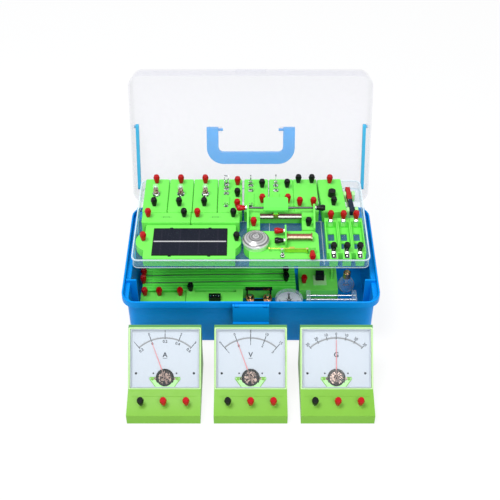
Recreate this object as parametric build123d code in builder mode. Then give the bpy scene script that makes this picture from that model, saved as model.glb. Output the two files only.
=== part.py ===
from build123d import *
import math
import os

os.makedirs("parts", exist_ok=True)

# An electricity and magnetism kit: a blue case with a clear lid, a lift-out tray of
# small green apparatus, more apparatus in the case, and three meters standing in front.
# The origin is the centre of the underside of the case, X to the right, Y to the back.

# Case
case_length = 350.0
case_depth = 198.0
case_height = 86.0
case_wall = 2.5
case_corner = 20.0
case_draft = 0.4
rim_overhang = 6.5
rim_skirt = 11.0
rim_thick = 2.5
band_height = 16.0
band_step = 1.0
base_fillet = 4.0
block_width = 13.0
front_block = 43.0
rear_block = 18.0
block_drop = 3.3
running_gap = 0.05
side_gap = 0.3

body_length = case_length - 2 * rim_overhang
body_depth = case_depth - 2 * rim_overhang
body_corner = case_corner - rim_overhang
inner_length = body_length - 2 * case_wall
inner_depth = body_depth - 2 * case_wall
inner_corner = body_corner - case_wall
case_floor = case_wall

# Lid and hinge
lid_lean = 20.0
lid_depth = 40.0
lid_wall = 2.0
lid_corner = 17.0
lid_draft = 1.4
lid_side_inset = 1.0
lid_front_inset = 5.0
lid_rear_inset = 1.0
lid_seat_gap = 1.0
hinge_outset = 3.0
hinge_spread = 110.0
knuckle_radius = 2.7
hinge_pin_radius = 1.25
lid_knuckle_length = 20.0
lug_length = 6.0
catch_length = 44.0
catch_reach = 3.2
catch_thick = 3.0
catch_place = 21.6

hinge_y = case_depth / 2 + hinge_outset
hinge_z = case_height + lid_seat_gap
lid_front = -(case_depth / 2 - lid_front_inset) - hinge_y
lid_rear = case_depth / 2 - lid_rear_inset - hinge_y
lid_length = case_length - 2 * lid_side_inset
lid_middle = (lid_front + lid_rear) / 2
lid_turn = 90 + lid_lean
lean = math.radians(lid_lean)
lid_plane = Plane(
    origin=(0, hinge_y, hinge_z),
    x_dir=(1, 0, 0),
    z_dir=(0, math.cos(lean), -math.sin(lean)),
)
lid_edge = side_gap - lid_seat_gap

# Carrying handle
handle_width = 132.0
handle_reach = 52.5
handle_strap = 17.5
handle_thick = 8.0
handle_corner = 25.0
handle_foot = 3.2
handle_rise = 6.0
handle_place = -102.5
handle_pin_radius = 2.0
handle_pin_length = 8.0
handle_lug = 5.0
handle_eye = 4.5
handle_rib = 2.0
handle_rib_height = 0.8
handle_ribs = (3.6, 8.0, 12.4)

# Tray and its linkage
tray_length = 325.6
tray_depth = 172.0
tray_height = 15.0
tray_wall = 1.6
tray_corner = 8.0
tray_lift = 9.0
tray_travel = 46.5
tray_front = -42.0
arm_length = 35.0
arm_thick = 2.0
arm_width = 9.0
arm_pin_radius = 2.0
front_arm_y = 20.0
rear_arm_y = 70.0
link_thick = 4.5
link_width = 7.0
link_pin_radius = 2.0
link_along = -114.0
link_deep = 22.0
link_clear = 1.4
link_boss = 4.0

tray_bottom = case_height + tray_lift
tray_floor = tray_bottom + tray_wall
tray_middle = tray_front + tray_depth / 2
tray_rise = tray_lift + block_drop - side_gap
pivot_z = tray_bottom + tray_height / 2
arm_chord = math.hypot(tray_travel, tray_rise)
arm_turn = 2 * math.degrees(math.asin(arm_chord / 2 / arm_length))
arm_open = 90 + math.degrees(math.atan2(tray_rise, tray_travel)) - arm_turn / 2
arm_drop = arm_length * math.sin(math.radians(arm_open))
arm_back = arm_length * math.cos(math.radians(arm_open))
arm_inner = tray_length / 2 + side_gap
link_inner = tray_length / 2 + link_clear

# A link bar spans from the lid to the tray, alike with the lid open and shut
lid_pin = lid_plane.from_local_coords(Vector(0, link_along, link_deep))
shut_y = hinge_y + link_along + tray_travel
shut_z = hinge_z + link_deep + tray_rise
link_foot_y = (
    shut_y**2 - lid_pin.Y**2 + (shut_z - pivot_z) ** 2 - (lid_pin.Z - pivot_z) ** 2
) / (2 * (shut_y - lid_pin.Y))
link_length = math.hypot(lid_pin.Y - link_foot_y, lid_pin.Z - pivot_z)
link_angle = math.degrees(math.atan2(lid_pin.Z - pivot_z, lid_pin.Y - link_foot_y))

# Front latch
latch_width = 49.0
latch_pivot_z = 83.0
latch_outset = 3.2
latch_knuckle = 2.6
latch_pin_radius = 1.2
latch_lug = 5.0
latch_lug_place = 19.0
latch_slope = 15.0
latch_bulge = 4.6
latch_drop = 30.4
latch_plate = 2.5
latch_lip = 2.4
latch_lip_height = 2.6

latch_y = -(case_depth / 2 + latch_outset)

# Apparatus on the tray
unit_width = 35.2
unit_depth = 75.0
unit_height = 19.0
unit_wall = 1.6
unit_edge = 1.0
unit_row_y = 90.0
lamp_places = (-138.2, -102.2, -66.2)
double_place = -30.2
single_places = (8.0, 44.8)
four_post_place = 80.2
knob_place = 118.3
right_turn = 3.5
low_height = 14.0

unit_top = tray_floor + unit_height
low_top = tray_floor + low_height

# Binding posts
stud_radius = 3.3
stud_height = 2.0
knob_foot = 3.0
knob_radius = 4.8
knob_crown = 3.7
knob_waist = 9.0
knob_height = 12.5
knob_sides = 12

# Lamps
lamp_y = 91.0
socket_radius = 5.4
socket_height = 9.0
socket_depth = 3.0
bulb_radius = 5.2
bulb_neck = 4.2
bulb_height = 13.0

# Knife switches
clip_width = 7.0
clip_depth = 4.4
clip_height = 8.5
clip_leaf = 0.8
clip_gap = 2.4
clip_pitch = 12.0
double_pitch = 11.0
clip_offset = -8.0
clip_row_y = 112.0
double_clip_y = 104.0
double_offset = -5.5
blade_thick = 1.4
blade_width = 4.0
blade_length = 13.5
blade_pin = 0.9
blade_rise = 6.8
blade_lean = 30.0
fork_strip = 0.9
fork_width = 3.6
fork_length = 15.0
strip_width = 9.0
strip_height = 2.5
single_strip = 27.0
single_strip_y = 78.5
double_strip = 19.0
double_strip_y = 76.0

blade_z = unit_top + blade_rise

# Rotary resistor
dial_knob_y = 89.0
dial_knob_radius = 6.0
dial_knob_height = 9.0
dial_shaft_radius = 2.0
dial_shaft_height = 5.0

# Bar magnet and its cradle
magnet_x = 145.5
magnet_y = 84.0
magnet_shift = 4.0
magnet_length = 56.0
magnet_width = 7.0
magnet_height = 8.0
cradle_length = 46.0
cradle_base = 5.4
ear_thick = 4.4
ear_long = 9.0
ear_height = 15.0
ear_pitch = 36.0
ear_clear = 0.8

# Resistor blocks
resistor_length = 69.4
resistor_depth = 21.4
resistor_row_y = 41.0
resistor_places = (-120.3, -50.3)
resistor_posts = 25.5

# Slide rheostat
rheo_left = -5.5
rheo_right = 91.0
rheo_front = 17.5
rheo_rear = 51.5
rheo_block = 18.5
rheo_low = 16.0
rheo_high = 22.5
rheo_step_y = 38.0
rheo_plate = 2.6
rheo_plate_height = 36.5
rheo_beam = 2.4
rheo_beam_drop = 3.0
rheo_rod_radius = 1.5
rheo_rod_y = 46.4
rheo_rod_rise = 31.8
rheo_tube_radius = 3.7
rheo_tube_y = 44.6
rheo_tube_rise = 17.4
rheo_post_y = 25.0
rheo_post_inset = 9.5
slider_length = 34.5
slider_front = 40.5
slider_rear = 51.5
slider_low = 27.4
slider_high = 39.0
slider_middle = 35.6
tongue_length = 6.0
tongue_depth = 4.0

rod_z = tray_floor + rheo_rod_rise
tube_z = tray_floor + rheo_tube_rise
rheo_low_top = tray_floor + rheo_low

# Solar cell unit
solar_x = -84.7
solar_length = 127.0
solar_rear = 29.4
solar_ear_radius = 21.0
solar_ear_y = -3.5
solar_left_reach = -160.4
solar_right_reach = -13.0
solar_posts = 64.8
panel_length = 103.5
panel_width = 54.8
panel_y = -6.4
panel_thick = 2.4
panel_sink = 1.0
panel_tab = 4.0
unit_front = tray_front + tray_wall + 0.6

# Electric bell
bell_left = -2.4
bell_right = 94.6
bell_rear = 16.6
bell_corner = 10.0
gong_x = 7.0
gong_y = -10.0
gong_radius = 18.8
gong_height = 8.4
gong_wall = 1.2
boss_radius = 17.0
boss_height = 2.4
bell_plate_x = 48.5
bell_plate_thick = 2.2
bell_plate_half = 16.4
bell_plate_height = 14.0
bell_post_rise = 7.4
bell_post_y = (9.0, -11.0)
coil_radius = 4.1
coil_rise = 6.4
bell_coil_y = -2.0
coil_end = 85.4
flange_radius = 5.6
flange_thick = 1.4
spring_y = -29.0
spring_right = 77.0
spring_left = 46.5
spring_height = 7.0
spring_thick = 0.9
spring_rise = 2.0
spring_pin = 0.9
spring_eye = 2.0
screw_block_width = 9.0
screw_block_depth = 4.0
screw_block_height = 12.0
screw_x = 84.2
screw_rise = 6.4
pillar_x = 42.6
pillar_radius = 1.8
pillar_height = 8.0
armature_long = 7.0
armature_deep = 4.4
clapper_y = -25.0
clapper_radius = 0.8
clapper_end = 25.6
clapper_ball = 2.0

coil_z = low_top + coil_rise
spring_z = low_top + spring_rise + spring_height / 2

# Battery holders
cell_left = 105.0
cell_pitch = 18.1
cell_width = 17.7
cell_rear = 45.4
cell_floor = 2.0
cell_wall = 1.5
cell_height = 13.6
cell_bay_front = -20.0
cell_bay_rear = 37.6
cell_tongue = 11.5
cell_tongue_y = -28.0
cell_window = 8.8
cell_window_long = 15.0
cell_window_y = (17.0, -3.0)
cell_rear_post = 41.5
cell_front_post = -25.4
contact_width = 6.6
contact_thick = 0.8
contact_drop = 9.0

cell_top = tray_floor + cell_height
cell_places = [cell_left + cell_width / 2 + i * cell_pitch for i in range(3)]

# Apparatus in the case
board_left = -158.0
board_right = 65.2
board_y = 12.2
board_depth = 47.0
board_turn = 1.4
board_height = 19.0
groove_width = 2.2
groove_depth = 1.0
groove_pitch = 5.6
groove_count = 7
board_post_half = 104.0
board_post_y = (4.4, 19.0)
board_wire_radius = 0.6
front_row_front = -45.2
block_left = -158.6
block_right = -93.8
block_rear = -16.6
block_posts = (-152.4, -131.6, -101.7)
block_post_y = -23.3
relay_left = -92.8
relay_right = -11.4
relay_rear = -19.0
relay_height = 22.0
relay_ear = 12.0
relay_ear_reach = 7.0
relay_ear_thick = 2.4
relay_post_y = -17.0
terminal_x = -51.5
terminal_y = -33.0
terminal_width = 17.0
terminal_depth = 9.0
terminal_height = 7.0

board_top = case_floor + board_height
relay_top = case_floor + relay_height
board_x = (board_left + board_right) / 2

# Twin coil electromagnet
magnet_coil_x = 11.6
magnet_coil_y = -27.4
coil_spread = 25.0
former_width = 39.0
former_front = -36.0
former_rear = -14.0
former_plate = 3.0
former_back = 4.0
former_back_top = 30.0
bobbin_radius = 4.2
bobbin_height = 15.4
bobbin_flange = 6.6
bobbin_flange_thick = 1.0
core_radius = 2.6
core_rise = 3.0
wire_size = 1.1
wire_pitch = 1.62
wire_turns = 8
wire_gap = 0.1

# Compass
compass_x = 54.9
compass_y = -32.6
compass_radius = 19.8
compass_height = 23.0
compass_wall = 1.6
compass_dial_thick = 1.0
compass_dial_drop = 6.0
needle_length = 28.0
needle_width = 4.4
needle_thick = 0.7
needle_pivot = 0.8

# Magnet unit, rail stand and spare bulb
mag_left = 70.4
mag_right = 126.6
mag_front = -12.6
mag_rear = 38.0
mag_post_x = 77.8
mag_post_y = 2.2
mag_plate_x = 101.0
mag_plate_y = 7.0
mag_plate_size = 19.0
mag_plate_thick = 1.5
mag_block_width = 12.0
mag_block_depth = 10.0
mag_block_height = 11.0
mag_block_y = 11.0
upright_x = 118.5
upright_y = 21.0
upright_thick = 3.0
upright_long = 22.0
upright_height = 14.0
rail_left = 80.0
rail_right = 152.0
rail_front = -45.2
rail_rear = -17.0
rail_plate = 3.0
rail_end = 6.0
rail_end_height = 24.0
rail_radius = 1.2
rail_rise = 18.0
rail_places = (-22.0, -30.0)
spare_x = 140.0
spare_y = 7.0
spare_radius = 12.0
spare_height = 27.0
spare_cap_radius = 5.4
spare_cap_height = 11.0

# Meters
meter_places = (-112.8, -0.2, 112.4)
meter_width = 95.4
meter_front = -233.6
meter_step = 15.8
meter_panel = 36.4
meter_dial_foot = 23.5
meter_tilt = 43.8
meter_dial = 82.0
meter_top = 4.0
meter_back = 2.0
meter_wall = 2.6
meter_face_wall = 9.0
cover_wall = 1.4
cover_thick = 1.2
dial_step = 6.5
dial_thick = 1.2
movement_rise = 15.2
movement_radius = 11.0
movement_flange = 13.5
movement_flange_thick = 2.0
movement_top = 4.6
movement_hole = 11.3
seat_ring = 16.4
seat_rise = 1.4
pointer_length = 50.0
pointer_tail = 8.0
pointer_width = 1.4
pointer_thick = 0.6
pointer_hub = 2.4
pointer_depth = 3.6
pointer_pivot = 0.8
pointer_swings = (20.3, 20.3, 0.0)
meter_post_spread = 29.4
meter_post_along = 16.0

tilt = math.radians(meter_tilt)
dial_foot_y = meter_front + meter_panel
dial_head_y = dial_foot_y + meter_dial * math.cos(tilt)
dial_head_z = meter_dial_foot + meter_dial * math.sin(tilt)
panel_slope = math.degrees(math.atan2(meter_dial_foot - meter_step, meter_panel))
meter_post_z = meter_step + meter_post_along * math.tan(math.radians(panel_slope))


def dial_plane(x, depth):
    """A plane under a meter's sloping face, its origin at the middle of the face's foot."""
    plane = Plane(
        origin=(x, dial_foot_y, meter_dial_foot),
        x_dir=(1, 0, 0),
        z_dir=(0, -math.sin(tilt), math.cos(tilt)),
    )
    return plane.offset(-depth)


def side_plane(x):
    """A plane facing right at x, drawn with Y across and Z up."""
    return Plane(origin=(x, 0, 0), x_dir=(0, 1, 0), z_dir=(1, 0, 0))


def stepped(curve, count):
    """Points along a curve, so that a turned form is made of short straight steps."""
    return [curve @ (step / count) for step in range(count + 1)]


def finish(piece, label):
    """Name a piece and write its file."""
    piece.part.label = label
    export_step(piece.part, "parts/" + label + ".step")


# Case with rolled rim, corner blocks, hinge lugs, latch lugs and arm pivots
with BuildPart() as case_base:
    with BuildSketch(Plane.XY.offset(case_height)):
        RectangleRounded(body_length, body_depth, body_corner)
    extrude(amount=-case_height, taper=case_draft)
    fillet(case_base.faces().sort_by(Axis.Z)[0].edges(), base_fillet)
    with BuildSketch(Plane.XY.offset(case_height)):
        RectangleRounded(body_length + 2 * band_step, body_depth + 2 * band_step, body_corner + band_step)
    extrude(amount=-band_height)
    with BuildSketch(Plane.XY.offset(case_height)):
        RectangleRounded(case_length, case_depth, case_corner)
    extrude(amount=-rim_skirt)
    fillet(case_base.faces().sort_by(Axis.Z)[-1].outer_wire().edges(), 1.2)
    with BuildSketch(Plane.XY.offset(case_height - rim_thick)):
        RectangleRounded(case_length - 2 * rim_thick, case_depth - 2 * rim_thick, case_corner - rim_thick)
        RectangleRounded(
            body_length + 2 * band_step,
            body_depth + 2 * band_step,
            body_corner + band_step,
            mode=Mode.SUBTRACT,
        )
    extrude(amount=-rim_skirt, mode=Mode.SUBTRACT)
    with BuildSketch(Plane.XY.offset(case_height)):
        RectangleRounded(inner_length, inner_depth, inner_corner)
    extrude(amount=-(case_height - case_floor), taper=case_draft, mode=Mode.SUBTRACT)
    for side in (-1, 1):
        for end, block_depth in ((-1, front_block), (1, rear_block)):
            block_x = side * (inner_length - block_width) / 2
            block_y = end * (inner_depth - block_depth) / 2
            with BuildSketch():
                with Locations((block_x, block_y)):
                    Rectangle(block_width + case_wall, block_depth + case_wall)
                RectangleRounded(inner_length + 0.5, inner_depth + 0.5, inner_corner, mode=Mode.INTERSECT)
            extrude(amount=case_height - block_drop)
            with BuildSketch():
                with Locations((block_x, block_y)):
                    Rectangle(block_width - case_wall, block_depth - case_wall)
                RectangleRounded(
                    inner_length - case_wall, inner_depth - case_wall, inner_corner, mode=Mode.INTERSECT
                )
            extrude(amount=case_height - block_drop - case_wall, mode=Mode.SUBTRACT)
    lug_offset = (lid_knuckle_length + lug_length) / 2 + side_gap
    for side in (-1, 1):
        for end in (-1, 1):
            with BuildSketch(side_plane(side * hinge_spread + end * lug_offset - lug_length / 2)):
                with BuildLine():
                    Polyline(
                        (hinge_y - knuckle_radius, case_height - rim_skirt),
                        (case_depth / 2 - rim_thick, case_height - rim_skirt),
                        (case_depth / 2 - rim_thick, case_height - 0.5),
                        (hinge_y, case_height - 0.5),
                        (hinge_y + knuckle_radius, hinge_z),
                        close=True,
                    )
                make_face()
                with Locations((hinge_y, hinge_z)):
                    Circle(knuckle_radius)
                    Circle(hinge_pin_radius + running_gap, mode=Mode.SUBTRACT)
            extrude(amount=lug_length)
        with BuildSketch(side_plane(side * latch_lug_place - latch_lug / 2)):
            with BuildLine():
                Polyline(
                    (latch_y + 1.0, latch_pivot_z - latch_knuckle + 0.2),
                    (latch_y + 1.6, latch_pivot_z - 1.5),
                    (rim_thick - case_depth / 2, latch_pivot_z - 1.5),
                    (rim_thick - case_depth / 2, case_height - rim_skirt),
                    (-case_depth / 2 - 0.5, case_height - rim_skirt),
                    close=True,
                )
            make_face()
            with Locations((latch_y, latch_pivot_z)):
                Circle(latch_knuckle)
                Circle(latch_pin_radius + running_gap, mode=Mode.SUBTRACT)
        extrude(amount=latch_lug)
        for arm_y in (front_arm_y, rear_arm_y):
            pin_reach = inner_length / 2 + 0.4 - arm_inner
            with Locations((side * (arm_inner + pin_reach / 2), arm_y - arm_back, pivot_z - arm_drop)):
                Cylinder(arm_pin_radius, pin_reach, rotation=(0, 90, 0))
finish(case_base, "case_base")

# Steel pins of the lid hinge and of the latch
with BuildPart() as hinge_pins:
    with Locations((-hinge_spread, hinge_y, hinge_z), (hinge_spread, hinge_y, hinge_z)):
        Cylinder(hinge_pin_radius, lid_knuckle_length + 2 * (lug_length + side_gap), rotation=(0, 90, 0))
    with Locations((0, latch_y, latch_pivot_z)):
        Cylinder(latch_pin_radius, 2 * latch_lug_place + latch_lug, rotation=(0, 90, 0))
finish(hinge_pins, "hinge_pins")

# Latch: a flap hanging from the rim, sloped above, with a hooked lower end
latch_outer = latch_y - latch_bulge
latch_inner = latch_outer + latch_plate
latch_end = latch_pivot_z - latch_drop
with BuildPart() as latch_flap:
    with BuildSketch(side_plane(-latch_width / 2)):
        with BuildLine():
            Polyline(
                (latch_y + 0.6, latch_pivot_z - 2.0),
                (latch_inner, latch_pivot_z - latch_slope),
                (latch_inner, latch_end),
                (latch_outer - latch_lip, latch_end),
                (latch_outer - latch_lip, latch_end + latch_lip_height),
                (latch_outer, latch_end + latch_lip_height),
                (latch_outer, latch_pivot_z - latch_slope),
                (latch_y - latch_knuckle + 0.3, latch_pivot_z + 0.8),
                close=True,
            )
        make_face()
        with Locations((latch_y, latch_pivot_z)):
            Circle(latch_knuckle)
            Circle(latch_pin_radius + running_gap, mode=Mode.SUBTRACT)
    extrude(amount=latch_width)
    for side in (-1, 1):
        with Locations((side * latch_lug_place, latch_y, latch_pivot_z)):
            Cylinder(
                latch_knuckle + side_gap, latch_lug + 2 * side_gap, rotation=(0, 90, 0), mode=Mode.SUBTRACT
            )
finish(latch_flap, "latch_flap")

# Clear lid, standing open and leaning back
lid_rest = lid_plane.offset(lid_edge)
lug_at = handle_width / 2 - handle_strap - side_gap - handle_lug / 2
boss_start = link_inner + link_thick + side_gap
boss_length = lid_length / 2 - lid_wall + 0.6 - boss_start
with BuildPart() as lid_shell:
    with BuildSketch(lid_rest):
        with Locations((0, lid_middle)):
            RectangleRounded(lid_length, lid_rear - lid_front, lid_corner)
    extrude(amount=lid_depth - lid_edge, taper=lid_draft)
    fillet(lid_shell.faces().sort_by(Axis(lid_plane.origin, lid_plane.z_dir))[-1].edges(), 3.0)
    with BuildSketch(lid_rest):
        with Locations((0, lid_middle)):
            RectangleRounded(
                lid_length - 2 * lid_wall, lid_rear - lid_front - 2 * lid_wall, lid_corner - lid_wall
            )
    extrude(amount=lid_depth - lid_edge - lid_wall, taper=lid_draft, mode=Mode.SUBTRACT)
    catch_spot = lid_plane.from_local_coords(Vector(0, lid_front + 1.4 - catch_reach / 2, catch_place))
    with Locations(Location(catch_spot, (-lid_turn, 0, 0))):
        Box(catch_length, catch_reach + 0.8, catch_thick)
    for side in (-1, 1):
        web_spot = lid_plane.from_local_coords(Vector(side * hinge_spread, lid_rear / 2 - 0.5, 1.0))
        with Locations(Location(web_spot, (-lid_turn, 0, 0))):
            Box(lid_knuckle_length, 1.0 - lid_rear, knuckle_radius)
        with Locations((side * hinge_spread, hinge_y, hinge_z)):
            Cylinder(knuckle_radius, lid_knuckle_length, rotation=(0, 90, 0))
            Cylinder(
                hinge_pin_radius + running_gap, lid_knuckle_length, rotation=(0, 90, 0), mode=Mode.SUBTRACT
            )
        lug_spot = lid_plane.from_local_coords(
            Vector(side * lug_at, handle_place, lid_depth + handle_rise / 2 - 0.5)
        )
        with Locations(Location(lug_spot, (-lid_turn, 0, 0))):
            Box(handle_lug, 2 * handle_eye, handle_rise + 1.0)
        eye_spot = lid_plane.from_local_coords(
            Vector(side * lug_at, handle_place, lid_depth + handle_rise)
        )
        with Locations(eye_spot):
            Cylinder(handle_eye, handle_lug, rotation=(0, 90, 0))
            Cylinder(handle_pin_radius + running_gap, handle_lug, rotation=(0, 90, 0), mode=Mode.SUBTRACT)
        with Locations((side * (boss_start + boss_length / 2), lid_pin.Y, lid_pin.Z)):
            Cylinder(link_boss, boss_length, rotation=(0, 90, 0))
            Cylinder(link_pin_radius + running_gap, boss_length, rotation=(0, 90, 0), mode=Mode.SUBTRACT)
finish(lid_shell, "lid_shell")

# Carrying handle: a ribbed bail lying along the outer face of the lid
handle_plane = lid_plane.offset(lid_depth + handle_rise)
grip_edge = handle_place + handle_reach
foot_edge = handle_place - handle_foot


def bail(inset, strap):
    """Draw the handle's outline, set in from its outer edge, with a given strap width."""
    half = handle_width / 2 - inset
    grip = grip_edge - inset
    turn = handle_corner - inset
    inner = half - strap
    shelf = grip - strap
    inside = turn - strap
    Line((-half, foot_edge), (-half, grip - turn))
    RadiusArc((-half, grip - turn), (turn - half, grip), turn)
    Line((turn - half, grip), (half - turn, grip))
    RadiusArc((half - turn, grip), (half, grip - turn), turn)
    Line((half, grip - turn), (half, foot_edge))
    Line((half, foot_edge), (inner, foot_edge))
    Line((inner, foot_edge), (inner, shelf - inside))
    RadiusArc((inner, shelf - inside), (inner - inside, shelf), -inside)
    Line((inner - inside, shelf), (inside - inner, shelf))
    RadiusArc((inside - inner, shelf), (-inner, shelf - inside), -inside)
    Line((-inner, shelf - inside), (-inner, foot_edge))
    Line((-inner, foot_edge), (-half, foot_edge))


with BuildPart() as lid_handle:
    with BuildSketch(handle_plane):
        with BuildLine():
            bail(0, handle_strap)
        make_face()
    extrude(amount=handle_thick / 2, both=True)
    with BuildSketch(handle_plane):
        for inset in handle_ribs:
            with BuildLine():
                bail(inset, handle_rib)
            make_face()
    extrude(amount=handle_thick / 2 + handle_rib_height)
    for side in (-1, 1):
        pin_at = handle_width / 2 - handle_strap + 1.0 - handle_pin_length / 2
        pin_spot = handle_plane.from_local_coords(Vector(side * pin_at, handle_place, 0))
        with Locations(pin_spot):
            Cylinder(handle_pin_radius, handle_pin_length, rotation=(0, 90, 0))
finish(lid_handle, "lid_handle")

# Link bars between the lid and the tray
link_stub = lid_length / 2 - lid_wall - 1.0 - link_inner - link_thick
with BuildPart() as link_bars:
    for side in (-1, 1):
        with BuildSketch(side_plane(side * (link_inner + link_thick / 2))):
            with Locations(((lid_pin.Y + link_foot_y) / 2, (lid_pin.Z + pivot_z) / 2)):
                SlotCenterToCenter(link_length, link_width, rotation=link_angle)
        extrude(amount=link_thick / 2, both=True)
        with Locations((side * (link_inner + link_thick + link_stub / 2), lid_pin.Y, lid_pin.Z)):
            Cylinder(link_pin_radius, link_stub, rotation=(0, 90, 0))
finish(link_bars, "link_bars")

# Clear tray with arm pivots and a pin head at each link bar
with BuildPart() as tray_shell:
    with BuildSketch(Plane.XY.offset(tray_bottom)):
        with Locations((0, tray_middle)):
            RectangleRounded(tray_length, tray_depth, tray_corner)
    extrude(amount=tray_height)
    with BuildSketch(Plane.XY.offset(tray_floor)):
        with Locations((0, tray_middle)):
            RectangleRounded(
                tray_length - 2 * tray_wall, tray_depth - 2 * tray_wall, tray_corner - tray_wall
            )
    extrude(amount=tray_height, mode=Mode.SUBTRACT)
    for side in (-1, 1):
        for arm_y in (front_arm_y, rear_arm_y):
            with Locations((side * (arm_inner + arm_thick / 2 - 0.2), arm_y, pivot_z)):
                Cylinder(arm_pin_radius, arm_thick + 1.2, rotation=(0, 90, 0))
        with Locations((side * (tray_length / 2 - tray_wall - 0.2), link_foot_y, pivot_z)):
            Cylinder(link_pin_radius + 0.8, 1.8, rotation=(0, 90, 0))
finish(tray_shell, "tray_shell")

# Parallel arms that let the tray sink into the case
with BuildPart() as rear_arms:
    for side in (-1, 1):
        with BuildSketch(side_plane(side * (arm_inner + arm_thick / 2))):
            with Locations((rear_arm_y - arm_back / 2, pivot_z - arm_drop / 2)):
                SlotCenterToCenter(arm_length, arm_width, rotation=arm_open)
            with Locations((rear_arm_y, pivot_z), (rear_arm_y - arm_back, pivot_z - arm_drop)):
                Circle(arm_pin_radius + running_gap, mode=Mode.SUBTRACT)
        extrude(amount=arm_thick / 2, both=True)
finish(rear_arms, "rear_arms")

with BuildPart() as front_arms:
    for side in (-1, 1):
        with BuildSketch(side_plane(side * (arm_inner + arm_thick / 2))):
            with Locations((front_arm_y - arm_back / 2, pivot_z - arm_drop / 2)):
                SlotCenterToCenter(arm_length, arm_width, rotation=arm_open)
            with Locations((front_arm_y, pivot_z), (front_arm_y - arm_back, pivot_z - arm_drop)):
                Circle(arm_pin_radius + running_gap, mode=Mode.SUBTRACT)
        extrude(amount=arm_thick / 2, both=True)
finish(front_arms, "front_arms")

# One hollow unit box, drawn with its underside at the origin
with BuildPart() as unit_form:
    with BuildSketch():
        RectangleRounded(unit_width, unit_depth, 2.0)
    extrude(amount=unit_height)
    chamfer(unit_form.faces().sort_by(Axis.Z)[-1].edges(), unit_edge)
    with BuildSketch():
        Rectangle(unit_width - 2 * unit_wall, unit_depth - 2 * unit_wall)
    extrude(amount=unit_height - unit_wall, mode=Mode.SUBTRACT)

# Eight unit boxes in a row, the right one set down a little askew
strip_z = unit_top + strip_height / 2 - 0.25
with BuildPart() as unit_bases:
    for x in lamp_places + (double_place,) + single_places + (four_post_place,):
        with Locations((x, unit_row_y, tray_floor)):
            add(unit_form.part)
    with Locations(Location((knob_place, unit_row_y, tray_floor), (0, 0, right_turn))):
        add(unit_form.part)
    for x in single_places:
        with Locations((x + clip_offset, single_strip_y, strip_z)):
            Box(strip_width, single_strip, strip_height + 0.5)
    with Locations((double_place + double_offset, double_strip_y, strip_z)):
        Box(strip_width, double_strip, strip_height + 0.5)
    with Locations((knob_place, dial_knob_y, unit_top + dial_shaft_height / 2 - 0.5)):
        Cylinder(dial_shaft_radius, dial_shaft_height + 1.0)
finish(unit_bases, "unit_bases")

# Lamp sockets and bulbs
with BuildPart() as lamp_sockets:
    for x in lamp_places:
        with Locations((x, lamp_y, unit_top + socket_height / 2)):
            Cylinder(socket_radius, socket_height)
        with Locations((x, lamp_y, unit_top + socket_height - socket_depth / 2)):
            Cylinder(bulb_neck + running_gap, socket_depth, mode=Mode.SUBTRACT)
finish(lamp_sockets, "lamp_sockets")

bulb_shoulder = socket_depth + 3.4
with BuildPart() as bulb_form:
    with BuildSketch(Plane.XZ):
        with BuildLine():
            Line((0, 0), (bulb_neck, 0))
            Line((bulb_neck, 0), (bulb_neck, socket_depth + 0.4))
            Line((bulb_neck, socket_depth + 0.4), (bulb_radius, bulb_shoulder))
            dome = ThreePointArc(
                (bulb_radius, bulb_shoulder),
                (bulb_radius * 0.74, bulb_shoulder + (bulb_height - bulb_shoulder) * 0.7),
                (0.8, bulb_height),
                mode=Mode.PRIVATE,
            )
            Polyline(*stepped(dome, 5))
            Line((0.8, bulb_height), (0, bulb_height))
            Line((0, bulb_height), (0, 0))
        make_face()
    revolve(axis=Axis.Z)

with BuildPart() as lamp_bulbs:
    for x in lamp_places:
        with Locations((x, lamp_y, unit_top + socket_height - socket_depth)):
            add(bulb_form.part)
finish(lamp_bulbs, "lamp_bulbs")

# A clip of the knife switches: a foot with two upright leaves
with BuildPart() as clip_form:
    with BuildSketch(Plane.XZ):
        Rectangle(clip_gap + 2 * clip_leaf, clip_height, align=(Align.CENTER, Align.MIN))
        with Locations((0, clip_leaf)):
            Rectangle(clip_gap, clip_height, align=(Align.CENTER, Align.MIN), mode=Mode.SUBTRACT)
    extrude(amount=clip_depth / 2, both=True)
    with Locations((0, 0, clip_leaf / 2)):
        Box(clip_width, clip_depth + 1.0, clip_leaf)

with BuildPart() as switch_clips:
    for x in single_places:
        for y in (clip_row_y, clip_row_y - clip_pitch):
            with Locations((x + clip_offset, y, unit_top)):
                add(clip_form.part)
        with Locations((x + clip_offset, clip_row_y, blade_z)):
            Cylinder(blade_pin, clip_gap + clip_leaf, rotation=(0, 90, 0))
    for y in (double_clip_y + double_pitch, double_clip_y, double_clip_y - double_pitch):
        with Locations((double_place + double_offset, y, unit_top)):
            add(clip_form.part)
    with Locations((double_place + double_offset, double_clip_y, blade_z)):
        Cylinder(blade_pin, clip_gap + 2 * (clip_leaf + side_gap + fork_strip), rotation=(0, 90, 0))
finish(switch_clips, "switch_clips")

# Single blades, standing open, each with a slim pointed grip
for label, x in (("blade_a", single_places[0]), ("blade_b", single_places[1])):
    with BuildPart() as single_blade:
        with BuildSketch(side_plane(x + clip_offset)):
            with BuildLine():
                Polyline(
                    (clip_row_y - blade_width / 2, blade_z - 1.4),
                    (clip_row_y - 1.0, blade_z - 2.2),
                    (clip_row_y + 1.0, blade_z - 2.2),
                    (clip_row_y + blade_width / 2, blade_z - 1.4),
                    (clip_row_y + blade_width / 2, blade_z + blade_length * 0.55),
                    (clip_row_y + 0.6, blade_z + blade_length),
                    (clip_row_y - 0.6, blade_z + blade_length),
                    (clip_row_y - blade_width / 2, blade_z + blade_length * 0.55),
                    close=True,
                )
            make_face()
            with Locations((clip_row_y, blade_z)):
                Circle(blade_pin + running_gap, mode=Mode.SUBTRACT)
        extrude(amount=blade_thick / 2, both=True)
    finish(single_blade, label)

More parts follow.
